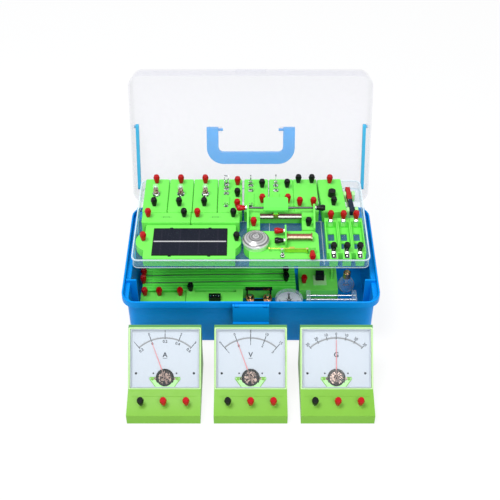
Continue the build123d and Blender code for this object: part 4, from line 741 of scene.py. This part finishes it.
# how far each row is set in from the rim's outer edge, and its height
rows = [
    (body_in + 3.0, wall), (body_in + 1.4, wall + 0.5), (body_in + 0.6, wall + 2.0),
    (body_in, skirt_low + wall - 0.8), (body_in - 0.7, skirt_low + wall),
    (wall + 0.7, skirt_low + wall), (wall, skirt_low + wall + 0.8), (wall, case_high - 0.6),
    (wall - 0.5, case_high), (0.6, case_high), (0.0, case_high - 0.7),
    (0.0, skirt_low + 0.5), (0.5, skirt_low), (wall_step - 1.4, skirt_low),
    (wall_step - 1.0, skirt_low - 0.4), (wall_step - 1.0, band_low + 0.5),
    (wall_step - 0.6, band_low), (wall_step, band_low - 0.3), (wall_step + 0.5, 4.0),
    (wall_step + 1.3, 1.6), (wall_step + 2.8, 0.4), (wall_step + 4.6, 0.0),
]
case = Drawing()
case.stacked(
    [(case_half[0] - inset, case_half[1] - inset, case_corner - inset, z) for inset, z in rows]
)
in_wall = case_half[0] - body_in + 0.4
hinge_lug_x, latch_lug_x = 110.0, 19.0
for side in (-1, 1):
    # a stiffening fin at the front of each end, and a post at the rear
    fin = work_plane((0, -52.0, 0), (1, 0, 0), (0, 1, 0))
    reach = [(157.4, -2.6), (in_wall, -2.6), (in_wall, -77.4), (172.2, -77.4)]
    reach += [(172.2, -82.0), (158.2, -82.0), (157.4, -81.2)]
    case.sheet(fin, [(side * x, y) for x, y in reach], -1.25, 1.25)
    post = work_plane((side * 159.2, 81.0, 0))
    case.sheet(post, rounded(13.6, 18.6, 1.0, 3), 2.4, 82.7)
    # the pins of the tray's arms, and the lugs of the hinge and the latch
    for y in (3.12, 53.12):
        pin = work_plane((side * 163.1, y, 71.84), (0, 1, 0), (side, 0, 0))
        case.turned(pin, [(0, 0), (1.85, 0), (1.85, 3.2), (0, 3.2)], 20)
    for x in (hinge_lug_x - 13.3, hinge_lug_x + 13.3):
        lug = work_plane((side * x, 0, 0), (0, 1, 0), (1, 0, 0))
        eye = ring_line(2.7, -60, 150, 12, (102.0, 87.0))
        case.sheet(lug, [(98.6, 79.0)] + eye + [(98.6, 85.6)], -3.0, 3.0)
    lug = work_plane((side * latch_lug_x, 0, 0), (0, 1, 0), (1, 0, 0))
    eye = ring_line(2.2, 95, 300, 12, (-102.2, 83.0))
    case.sheet(lug, [(-98.6, 83.2)] + eye + [(-98.6, 76.0)], -2.5, 2.5)
case.done("case_shell", case_blue, "base", "case_blue", ("case_base",))

# %% [markdown]
# ## Tray rim and ribs
# The clear tray has a narrow rim round its mouth, a foot edge and low ribs on its
# floor. Clear plastic gathers light at such edges, so they show white where the walls
# between them hardly show at all.

# %% Tray edges
tray_middle = (0.0, 44.0)
tray_half = (162.8, 86.0)
tray_top, tray_low, tray_floor = 110.0, 95.0, 96.6
ribs = ((-18.0, 160.0, 52.0, 52.8), (26.4, 27.2, 22.0, 52.0), (101.0, 101.8, -38.0, 52.0))
rims = Drawing()


def tray_ring(grow):
    return rounded(2 * (tray_half[0] + grow), 2 * (tray_half[1] + grow), 8.0 + grow, 5, tray_middle)


flat = work_plane((0, 0, 0))
rims.band(flat, tray_ring(1.1), tray_ring(-0.7), tray_top - 0.9, tray_top + 0.3)
rims.band(flat, tray_ring(0.25), tray_ring(-0.6), tray_low + 0.1, tray_low + 0.9)
for rib in ribs:
    rims.sheet(flat, patch(*rib), tray_floor, tray_floor + 0.5)
rims.done("tray_edges", clear_edge, "tray", "clear")

# %% [markdown]
# ## The meters' work planes
# A meter's dial lies in a sloping recess. All its fine pieces are drawn on a plane
# whose origin is at the pivot of the pointer, so that angles and radii are the ones
# printed on the dial. The slope and the places are the case's own.

# %% Dial planes
meter_x = {"A": -112.8, "V": -0.2, "G": 112.4}
dial_foot = (-197.2, 23.5)
dial_slope = radians(43.8)
pivot_up = 15.2
dial_sunk = 4.75


def dial_plane(x, depth=0.0):
    """A meter's dial plane at the pointer's pivot, sunk by a depth."""
    along, normal = cos(dial_slope), sin(dial_slope)
    y = dial_foot[0] + pivot_up * along + depth * normal
    z = dial_foot[1] + pivot_up * normal - depth * along
    return work_plane((x, y, z), (1, 0, 0), leaning(dial_slope))


print("pivot of the left meter", [round(v, 2) for v in dial_plane(meter_x["A"]).translation])

# %% [markdown]
# ## Dial cards
# The dial is a white card with a notch at its foot, which lets the green cup of the
# movement through. It could be a picture on a plane, but a cut card catches a real
# edge of shade round the notch. A thin white liner stands round the card.

# %% Cards
card_half = 44.9
card_low, card_high = -12.4, 64.0
card_tall, card_middle = card_high - card_low, (0, (card_high + card_low) / 2)
liner = 1.8
ear_half, ear_top, cup_foot = 20.6, 1.4, 12.6
arch = 10.9


def notch():
    """The notch's outline, from the card's lower left to its lower right."""
    left = [(-cup_foot, card_low), (-17.4, -6.0), (-ear_half, -2.2)]
    left += [(-ear_half - 0.1, 0.0), (-ear_half + 0.9, ear_top), (-arch, ear_top)]
    over = ring_line(arch, 172.0, 8.0, 20)
    return left + over + [(-x, y) for x, y in left[::-1]]


cards = Drawing()
for x in meter_x.values():
    outline = [(-card_half, card_low)] + notch()
    outline += [(card_half, card_low), (card_half, card_high), (-card_half, card_high)]
    cards.sheet(dial_plane(x, dial_sunk), outline, -0.5, 0.0)
    cards.band(
        dial_plane(x, dial_sunk),
        rounded(2 * card_half, card_tall, 0.4, 2, card_middle),
        rounded(2 * card_half - liner, card_tall - liner, 0.3, 2, card_middle),
        0.0,
        4.2,
    )
cards.done("dial_cards", white_card, "base", "white_card", ("meter_dials",))

# %% [markdown]
# ## Green cup and movement
# Behind the notch a green cup holds the moving coil. Two ears carry small screws, a
# black ring is the magnet's edge, and a bracket in the shape of an A carries the
# pivot. Each is a thin part of its own, stacked as the real ones are. The cover's
# rim, pale green as a painted highlight, and a ridge along the meter's front are drawn
# here too.

# %% Cup, ring, bracket, screws and cover edge
cups, cup_lines, rings, brackets, dots = (Drawing() for _ in range(5))
for x in meter_x.values():
    base = dial_plane(x, dial_sunk)
    cup = [(-cup_foot, card_low), (-17.2, -6.0), (-20.3, -2.2), (-20.3, 0.2)]
    cup += [(-19.2, 1.2), (-10.2, 1.2)]
    cup += ring_line(10.2, 180.0, 360.0, 18) + [(-a, b) for a, b in cup[::-1]]
    cups.sheet(base, cup, -0.3, 0.1)
    for side in (-1, 1):
        lip = [(side * 12.2, -12.0, 0.2), (side * 16.4, -6.2, 0.2), (side * 19.4, -2.0, 0.2)]
        cup_lines.wire(base, lip + [(side * 19.2, 0.6, 0.2), (side * 12.0, 0.6, 0.2)], 0.45, 6)
        brackets.sheet(base, rounded(5.0, 3.6, 1.2, middle=(side * 11.6, -0.9)), 0.1, 0.6)
        screw = [(0, 0.9), (1.3, 0.8), (1.9, 0.2), (1.9, 0)]
        cup_lines.turned(at(base, side * 16.4, -1.4, 0.1), screw, 20)
        dots.turned(at(base, side * 15.2, 6.0), [(0, 0.5), (0.8, 0.4), (1.1, 0)], 16)
        dots.turned(at(base, side * 38.0, 6.0), [(0, 0.7), (1.3, 0.5), (1.6, 0)], 20)
    rings.arc(base, 12.0, 8.9, (-32, 212), -0.2, 0.75)
    brackets.turned(base, [(0, 0.35), (8.6, 0.35), (8.6, 0.0)], 40)
    brackets.arc(base, 6.3, 5.4, (0, 360), 0.3, 0.7, 30)
    for side in (-1, 1):
        brackets.wire(base, [(side * 4.6, -4.6, 0.6), (side * 0.6, 4.2, 0.8)], 0.55, 6)
    brackets.wire(base, [(-3.2, -1.6, 0.7), (3.2, -1.6, 0.7)], 0.5, 6)
    dots.turned(at(base, 0, -6.6, 0.1), [(0, 1.7), (2.5, 1.6), (3.0, 1.0), (3.0, 0)], 24)
covers = Drawing()
front_lean = radians(11.9)
for x in meter_x.values():
    rim = rounded(94.4, 80.6, 1.2, 3, (0, 26.0))
    covers.band(dial_plane(x, -0.05), rim, rounded(91.2, 77.6, 0.8, 3, (0, 25.8)), 0.0, 0.35)
    ridge = work_plane((x, -206.5, 21.7), (1, 0, 0), leaning(front_lean))
    cup_lines.sheet(ridge, patch(-42, 42, -0.3, 0.3), -0.4, 0.15)
# the covers' rims are painted pale, as the highlight along the clear edges
covers.done("cover_rim_highlights", cover_rim_highlight, "base", "clear")
cups.done("movement_cups", pale_green, "base", "meter_green")
cup_lines.done("cup_lips_and_screws", meter_green, "base", "meter_green")
rings.done("magnet_rings", black_plastic, "base", "black_plastic")
brackets.done("movement_brackets", movement_face, "base", "brass")
dots.done("dial_screws", dark_block, "base", "black_plastic")

# %% [markdown]
# ## Printed scales
# A scale is an arc with long and short strokes and plain numbers, all centred on the
# pivot. Working the strokes out from the scale's step keeps every mark where the
# pointer would meet it. The unit letter stands under the arc, with its bar for
# direct current.

# %% Scales
scale_radius, scale_half, stroke_wide, hair_wide = 52.2, 0.9, 0.95, 0.42
# the degrees from figure to figure, the figures over and under the arc, the ends of
# the long strokes, and the heights of the two rows of figures
scales = {
    "A": (20.4, "1 0 1 2 3", "0.2 0 0.2 0.4 0.6", (50.6, 58.4), (60.6, 47.6)),
    "V": (20.4, "5 0 5 10 15", "1 0 1 2 3", (47.4, 58.4), (60.6, 44.6)),
    "G": (13.6, "30 20 10 0 10 20 30", "", (50.2, 55.6), (57.4, 0.0)),
}
ink_lift = 0.04
strokes, hairlines, figures = Drawing(), Drawing(), Drawing()


def stroke(drawing, plane, angle, low, high, width):
    """A printed stroke that points away from the pivot."""
    drawing.sheet(aimed(plane, angle), patch(-width / 2, width / 2, low, high), 0.0, ink_lift)


for letter, x in meter_x.items():
    base = dial_plane(x, dial_sunk)
    step, upper, lower, ends, rows = scales[letter]
    upper, lower = upper.split(), lower.split()
    angles = [(i - (len(upper) - 1) / 2) * step for i in range(len(upper))]
    span = angles[-1]
    arc_edges = (scale_radius + scale_half, scale_radius - scale_half)
    hairlines.arc(base, *arc_edges, (90 - span, 90 + span), 0.0, ink_lift)
    for i, angle in enumerate(angles):
        stroke(strokes, base, angle, *ends, stroke_wide)
        for minor in range(1, 10) if angle < span else ():
            reach = 2.6 if minor == 5 else 1.7
            lean = angle + minor * step / 10
            stroke(hairlines, base, lean, scale_radius, scale_radius + reach, hair_wide)
        turn = aimed(base, angle)
        figures.words(at(turn, 0, rows[0]), upper[i], 5.0, ink_lift)
        if lower:
            figures.words(at(turn, 0, rows[1]), lower[i], 5.2, ink_lift)
    figures.words(at(base, 0, 30.0), letter, 9.0, ink_lift)
    if lower:
        strokes.sheet(base, patch(-2.8, 2.8, 25.4, 26.0), 0.0, ink_lift)
strokes.done("scale_strokes", dark_ink, "base", "white_card")
hairlines.done("scale_hairlines", grey_ink, "base", "white_card")
figures.done("scale_figures", dark_ink, "base", "white_card")

# %% [markdown]
# ## The solar cell's bright bar
# Two rows of cells meet at a tinned bar across the middle of the panel. It is real
# metal on the glass, so it is a strip with a little thickness, with a thin dark
# margin of the frame all round.

# %% Solar bar and margin
panel_middle = (-84.7, -6.4)
panel_size = (103.5, 54.8)
panel_top = 112.0
on_panel = work_plane((*panel_middle, panel_top))
solar_bar = Drawing()
solar_bar.sheet(on_panel, rounded(panel_size[0] - 2.6, 2.3, 0.3), 0.0, 0.12)
solar_bar.done("solar_bar", nickel, "tray", "steel")
margin = Drawing()
margin_in = rounded(panel_size[0] - 2.4, panel_size[1] - 2.4, 0.4)
margin.band(on_panel, rounded(*panel_size, 0.8), margin_in, 0.0, 0.1)
margin.done("solar_margin", black_plastic, "tray", "black_plastic")

# %% [markdown]
# ## Gong
# The bell's gong is pressed from plated sheet, with concentric steps round a domed
# nut. Turning one profile about the bell's axis gives the steps. Its finish adds
# rings of grey, one for what each step would mirror in a furnished room.

# %% Gong
gong_spot = (7.0, -10.0, 117.0)
gong = Drawing()
boss = Drawing()
boss.turned(
    work_plane((*gong_spot[:2], 110.6)),
    [(15.0, 0.0), (17.4, 0.0), (17.4, 5.4), (16.8, 6.2), (15.0, 6.2), (15.0, 0.0)],
    64,
)
boss.done("gong_boss", pale_green, "tray", "unit_green")
gong.turned(
    work_plane(gong_spot),
    [
        (17.6, 0.0), (18.8, 0.0), (18.8, 1.6), (18.5, 2.6), (17.4, 3.9), (15.8, 5.1),
        (14.2, 5.8), (13.7, 5.7), (12.9, 6.2), (11.6, 6.8), (11.1, 6.6), (10.2, 7.1),
        (9.0, 7.3), (8.7, 7.9), (8.0, 8.1), (5.6, 8.1), (5.2, 7.8), (3.5, 7.8),
    ],
    96,
)
nut = [(3.5, 7.8), (3.4, 8.5), (2.6, 8.6), (2.4, 9.2), (1.5, 9.65), (0, 9.7)]
gong.turned(work_plane(gong_spot), nut, 40)
gong.done("gong_and_nut", gong_finish, "tray", "steel", ("bell_gong",))

# %% [markdown]
# ## Miniature lamps
# A miniature lamp is a screw shell, a glass envelope, a bead and a hair of tungsten.
# The envelope is turned, and the filament is a bent wire on two supports, because
# both show through the glass from above.

# %% Lamps
lamp_x = (-138.2, -102.2, -66.2)
lamp_y, socket_top = 91.0, 124.6
glass = [(3.2, 2.4), (3.4, 3.4), (4.0, 5.0), (4.0, 6.8), (3.3, 8.6), (1.9, 9.7), (0, 10.0)]
socket = [(3.9, -9.0), (5.4, -9.0), (5.4, -6.4), (5.1, -6.0), (4.2, -5.2), (3.9, -5.0)]
threads = [(3.3 + 0.35 * (i % 2), -4.6 + 0.62 * i) for i in range(13)]


def coiled(half, height, radius, turn, steps):
    """A level coil of fine wire across the plane, from -half to half."""
    path = []
    for i in range(steps + 1):
        x = -half + 2 * half * i / steps
        path.append((x, radius * sin(i * turn), height + radius * cos(i * turn)))
    return path


envelopes, shells, beads, filaments, seats = (Drawing() for _ in range(5))
for x in lamp_x:
    seat = work_plane((x, lamp_y, socket_top))
    envelopes.turned(seat, glass, 32)
    shells.turned(seat, [(0, -5.0)] + threads + [(0, 2.9)], 32)
    beads.turned(seat, [(0, 4.2), (1.5, 4.6), (2.1, 5.8), (1.5, 7.0), (0, 7.4)], 20)
    for side in (-1, 1):
        filaments.wire(seat, [(side * 1.2, 0, 2.8), (side * 1.6, 0, 5.2)], 0.22, 6)
    filaments.wire(seat, coiled(1.6, 5.2, 0.3, 1.6, 24), 0.12, 5)
    seats.turned(seat, socket, 32)
envelopes.done("lamp_envelopes", lamp_glass, "tray", "clear", ("lamp_bulbs",))
shells.done("lamp_screw_shells", lamp_thread, "tray", "brass")
beads.done("lamp_beads", clear_edge, "tray", "clear")
filaments.done("lamp_filaments", dark_steel, "tray", "steel")
seats.done("lamp_seats", bright_clip, "tray", "steel", ("lamp_sockets",))

# %% [markdown]
# ## Switch rivets, stop screw and rheostat shoe
# The knife blades turn on rivets, whose heads show outside the clips. A screw stops
# the bell's armature. Under the slider a brass shoe rubs on the wound tube. All are
# small, but they tell a reader how the units work.

# %% Rivets, screw and shoe
rivets = Drawing()
for x in (0.0, 36.8):
    for side in (-1, 1):
        head = work_plane((x + side * 2.0, 112.0, 122.4), (0, 1, 0), (side, 0, 0))
        rivets.turned(head, [(1.5, 0), (1.4, 0.4), (0.8, 0.7), (0, 0.75)], 18)
rivets.done("switch_rivets", nickel, "tray", "steel")
stop_screw = Drawing()
barrel = [(2.0, 0.0), (3.2, 0.0), (3.2, 1.4), (2.4, 1.5), (2.4, 4.4), (1.8, 5.2)]
hollow_end = [(1.0, 5.2), (0.9, 4.6), (0, 4.6)]
stop_screw.turned(work_plane((43.3, -36.0, 112.0)), barrel + hollow_end, 28)
stop_screw.done("bell_stop_screw", bright_clip, "tray", "steel")
shoe = Drawing()
slider_x, rod_y = 35.6, 44.6
under_slider = work_plane((slider_x, rod_y, 118.2))
shoe.sheet(under_slider, rounded(9.0, 5.6, 1.2), 0.0, 0.9)
front_plate = work_plane((slider_x, 40.4, 115.4), (1, 0, 0), (0, -1, 0))
shoe.sheet(front_plate, rounded(7.2, 5.4, 1.4), -0.4, 0.4)
for side in (-1, 1):
    shoe.wire(under_slider, [(side * 4.0, -2.2, 0.6), (0, 0, 2.0), (side * 4.0, 2.2, 0.6)], 0.4, 6)
shoe.done("slider_shoe", brass_strip, "slider", "brass")

# %% [markdown]
# ## The slider's finger rest
# The slider has a broad sloping rest for the finger, which faces the pupil. A lip
# closes the rest's front edge, two walls under it hold the rod between them, and a
# tongue reaches down to the shoe.

# %% Slider
slider_half = 17.25
rest_plane = work_plane((slider_x, 52.6, 133.4), (1, 0, 0), leaning(radians(17.6)))
slider = Drawing()
slider.sheet(rest_plane, rounded(2 * slider_half, 17.2, 3.2, 6), -1.0, 0.0)
across = work_plane((slider_x, 0, 0), (0, 1, 0), (1, 0, 0))
lip = [(41.8, 127.4), (44.2, 131.0), (48.0, 132.1), (48.0, 131.0)]
lip += [(45.0, 130.2), (43.4, 127.2), (42.4, 126.6)]
front_wall = [(42.4, 124.4), (44.4, 124.4), (44.4, 127.8), (42.4, 127.2)]
rear_wall = [(48.8, 124.4), (54.6, 124.4), (54.6, 133.4), (48.8, 131.6)]
for outline in (lip, front_wall, rear_wall):
    slider.sheet(across, outline, -slider_half, slider_half)
tongue = work_plane((slider_x, rod_y, 0))
slider.sheet(tongue, rounded(6.0, 3.0, 0.5, 3), 118.0, 125.0)
slider.done("slider_with_rest", slider_green, "slider", "unit_green", ("rheostat_slider",))

# %% [markdown]
# ## Battery springs and solder tags
# Each battery bay has a cone of spring wire at its front and a tag outside. The
# spring is one wire on a narrowing helix, so it can be drawn as a path.

# %% Springs and tags
cell_x = (113.85, 131.95, 150.05)
steps_per_turn = 16
spring_steps = 72  # four turns and a half
springs, tags = Drawing(), Drawing()
for x in cell_x:
    end = work_plane((x, -19.1, 105.0), (1, 0, 0), (0, 1, 0))
    helix = []
    for i in range(spring_steps + 1):
        a = 2 * pi * i / steps_per_turn
        share = i / spring_steps
        size = 3.6 - 1.6 * share
        helix.append((size * cos(a), size * sin(a), 0.5 + 6.0 * share))
    springs.wire(end, helix, 0.35, 6)
    tag = work_plane((x, -36.0, 111.0))
    tags.band(tag, rounded(6.2, 6.4, 0.8, 3), rounded(2.6, 2.8, 0.6, 3), 0.0, 0.7)
springs.done("battery_springs", nickel, "tray", "steel")
tags.done("battery_tags", nickel, "tray", "steel")

# %% [markdown]
# ## Bar of the twin coils
# The two coils stand side by side under one narrow black bar, so their copper turns
# show in front of it. Each winding stands on a thin disc. The relay's black terminal
# block is drawn with the bar, because the solid that they stand for held both.

# %% Twin coils
coil_low, coil_high, bar_high, unit_top = 5.5, 22.9, 30.0, 2.5
coil_x, coil_spread, coil_y, bar_y = 11.6, 12.5, -27.4, -16.0
block_spot, block_low, block_high = (-51.5, -33.0), 24.5, 31.5
first_turn, turn_gap, turn_rows = coil_low + 1.1, 0.58, 29
core = [(0, coil_low), (4.15, coil_low), (4.15, coil_high), (0, coil_high)]
disc = [(4.1, coil_low), (6.6, coil_low), (6.6, coil_low + 1.0), (4.1, coil_low + 1.0)]
turns = [(5.7 if i % 2 else 6.25, first_turn + turn_gap * i) for i in range(turn_rows)]
wound = [(4.2, first_turn)] + turns + [(4.2, first_turn + turn_gap * (turn_rows - 1))]
bar, windings = Drawing(), Drawing()
bar.sheet(work_plane((coil_x, bar_y, 0)), rounded(39.0, 3.8, 0.8, 3), bar_high - 3.6, bar_high)
for side in (-1, 1):
    bobbin = work_plane((coil_x + side * coil_spread, coil_y, 0))
    bar.turned(bobbin, core, 28)
    bar.turned(bobbin, disc, 32)
    post = work_plane((coil_x + side * 17.0, bar_y, 0))
    bar.sheet(post, rounded(2.4, 3.0, 0.4, 2), unit_top, bar_high - 3.0)
    windings.turned(bobbin, wound, 40)
bar.sheet(work_plane((coil_x, -25.0, 0)), rounded(39.0, 22.0, 1.0, 3), unit_top, coil_low)
bar.sheet(work_plane((*block_spot, 0)), rounded(17.0, 9.0, 0.8, 3), block_low, block_high)
windings.done("twin_coil_turns", copper_wire, "base", "copper", ("coil_windings",))
bar.done("twin_coil_bar", black_plastic, "base", "black_plastic", ("coil_former",))
print("twin coils stand from", coil_low, "to", coil_high, "mm")

# %% [markdown]
# ## Front jaws of the switches
# A knife blade closes between two small jaws at the front of its unit, held by a
# dark screw each.

# %% Jaws
jaw_spots, unit_roof = ((0.0, 66.0), (36.8, 66.0), (-35.7, 66.5)), 115.6
jaw_screw = [(0, 0.9), (1.1, 0.8), (1.5, 0.2), (1.5, 0)]
jaws, jaw_screws = Drawing(), Drawing()
for spot in jaw_spots:
    foot = work_plane((*spot, unit_roof))
    for side in (-1, 1):
        jaws.sheet(foot, rounded(0.8, 4.6, 0.2, 2, (side * 1.6, 0)), 0.0, 4.2)
    jaws.sheet(foot, rounded(6.4, 4.0, 0.8, 3, (0, -1.6)), 0.0, 0.7)
    jaw_screws.turned(at(foot, 0, -2.4, 0.7), jaw_screw, 18)
jaws.done("switch_jaws", bright_clip, "tray", "steel")
jaw_screws.done("jaw_screws", dark_steel, "tray", "steel")

# %% [markdown]
# ## Compass card
# The compass card carries a star and a ring of strokes. Only the dark half of each
# point of the star is printed, the way engraved roses are, and a clear lens closes
# the box.

# %% Rose and lens
compass_spot = (54.9, -32.6)
on_dial = work_plane((*compass_spot, 20.5))
rose, lens = Drawing(), Drawing()
for point in range(8):
    reach = 13.0 if point % 2 == 0 else 8.0
    turn = on_dial @ Matrix.Rotation(point * pi / 4, 4, "Z")
    rose.sheet(turn, [(0, 0), (1.6, 1.9), (0, reach)], 0.0, 0.06)
for degree in range(0, 360, 10):
    stroke(rose, on_dial, degree, 15.4, 17.2 if degree % 30 == 0 else 16.4, 0.35)
for angle, letter in ((0, "N"), (90, "E"), (180, "S"), (270, "W")):
    rose.words(at(aimed(on_dial, angle), 0, 13.2), letter, 4.6, 0.05)
rose.done("compass_rose", dark_ink, "base", "white_card")
lens_profile = [(0, 0.9), (12.0, 0.7), (17.9, 0.3), (17.9, -0.2), (0, -0.2)]
lens.turned(work_plane((*compass_spot, 24.2)), lens_profile, 48)
lens.done("compass_lens", cover_clear, "base", "clear")

# %% [markdown]
# ## Spare bulb's filament
# Through the big bulb's glass its stem and filament can be seen. The stem is a
# turned glass pip, and the filament hangs between two supports below the cap.

# %% Stem and filament
bulb_spot = work_plane((140.0, 7.0, 2.5))
stem, loops = Drawing(), Drawing()
stem.turned(bulb_spot, [(4.6, 26.5), (3.2, 22.0), (1.8, 18.0), (1.5, 15.5), (0, 15.0)], 24)
for side in (-1, 1):
    support = [(side * 1.2, 0, 16.5), (side * 3.4, 0, 12.4), (side * 4.6, 0, 10.5)]
    loops.wire(bulb_spot, support, 0.3, 6)
loops.wire(bulb_spot, coiled(4.6, 10.5, 0.6, 1.9, 40), 0.22, 5)
stem.done("bulb_stem", stand_clear, "base", "clear")
loops.done("bulb_filament", copper_wire, "base", "copper")

# %% [markdown]
# ## Small prints and the relay's terminals
# The resistor blocks carry the usual circuit sign, a box with a lead at each end.
# The relay's black block has a row of screw slots on its top.

# %% Circuit signs and slots
signs, slots = Drawing(), Drawing()
for x in (-120.3, -50.3):
    top = work_plane((x, 41.0, unit_roof))
    signs.band(top, rounded(9.0, 2.6, 0.2, 2), rounded(8.2, 1.8, 0.1, 2), 0.0, ink_lift)
    for side in (-1, 1):
        signs.sheet(top, patch(side * 4.5, side * 8.5, -0.2, 0.2), 0.0, ink_lift)
signs.done("resistor_signs", dark_ink, "tray", "unit_green")
for i in range(4):
    spot = work_plane((block_spot[0] + (i - 1.5) * 4.0, block_spot[1], block_high))
    slots.turned(spot, [(0, 0.5), (1.1, 0.4), (1.3, 0.0)], 14)
    slots.sheet(spot, patch(-0.2, 0.2, -1.0, 1.0), 0.45, 0.6)
slots.done("terminal_screws", nickel, "base", "steel")

# %% [markdown]
# ## Stage, light and camera
# One broad lamp from the upper left gives the modelling, a weaker one opens the
# shadows, and the world fills the rest. Camera rays see a white room, and so do
# mirrors and clear parts.

# %% Floor and world
floor_half, floor_drop = 6.0, 0.0002
floor_glow_share = 0.86
ambient_strength = 0.62


def seen_directly(finish):
    """One where the ray comes from the camera, a mirror or clear plastic."""
    rays = ("Is Camera Ray", "Is Glossy Ray", "Is Transmission Ray")
    camera_ray, mirror_ray, clear_ray = (finish.node("LightPath", out=ray) for ray in rays)
    clamped = {"operation": "ADD", "use_clamp": True}
    return finish.node("Math", clamped, {0: camera_ray + mirror_ray, 1: clear_ray})


floor_finish = Finish("floor")
paper = floor_finish.node("BsdfDiffuse", {}, {"Color": (0.9, 0.9, 0.9, 1)})
glow = floor_finish.node("Emission", {}, {"Color": (1, 1, 1, 1), "Strength": 1.0})
share = seen_directly(floor_finish) * floor_glow_share
floor_finish.close(floor_finish.node("MixShader", {}, {0: share, 1: paper, 2: glow}))
floor_data = bpy.data.meshes.new("floor")
corners = [(x, y, 0) for x, y in patch(-floor_half, floor_half, -floor_half, floor_half)]
floor_data.from_pydata(corners, [], [(0, 1, 2, 3)])
floor_data.materials.append(floor_finish.material)
floor = placed("floor", floor_data)
floor.location.z = -floor_drop

world = bpy.data.worlds.new("room")
bpy.context.scene.world = world
world.use_nodes = True
room = Finish.__new__(Finish)
room.tree = world.node_tree
room.tree.nodes.clear()
room.out = room.tree.nodes.new("ShaderNodeOutputWorld")
cool_white = (0.95, 0.97, 1.0, 1)
ambient = room.node("Background", {}, {"Color": cool_white, "Strength": ambient_strength})
white = room.node("Background", {}, {"Color": (1, 1, 1, 1), "Strength": 1.0})
lit = room.node("MixShader", {}, {0: seen_directly(room), 1: ambient, 2: white})
room.tree.links.new(lit.socket, room.out.inputs["Surface"])


# %% Lamps of the stage
def soft_lamp(name, place, aim, size, power):
    """A round lamp, its size in metres and its power in watts."""
    lamp = bpy.data.lights.new(name, "AREA")
    lamp.shape = "DISK"
    lamp.size = size
    lamp.energy = power
    holder = placed(name, lamp)
    holder.location = place
    holder.rotation_euler = (Vector(aim) - Vector(place)).to_track_quat("-Z", "Y").to_euler()


soft_lamp("key", place=(-0.5, -0.45, 1.9), aim=(0, 0, 0.05), size=0.9, power=27.0)
soft_lamp("fill", place=(0.4, -1.2, 1.3), aim=(0, -0.02, 0.03), size=0.7, power=9.0)

# %% [markdown]
# ## Camera
# The photograph looks down at 43 degrees from straight ahead. The distance and the
# lens come from fitting the case's corners, and the small shift is the picture's
# own offset from its middle.

# %% Camera
look_down = 43
sensor_wide, focal_length, picture_shift = 36.0, 68.4, -0.0016
camera_place = (0.0, -0.9807, 1.0042)
nearest, farthest = 0.05, 50.0
camera_data = bpy.data.cameras.new("camera")
camera_data.sensor_width = sensor_wide
camera_data.lens = focal_length
camera_data.shift_x = picture_shift
camera_data.clip_start = nearest
camera_data.clip_end = farthest
camera = placed("camera", camera_data)
camera.location = camera_place
camera.rotation_euler = (radians(90 - look_down), 0, 0)
bpy.context.scene.camera = camera
bpy.context.scene.view_settings.view_transform = "Standard"
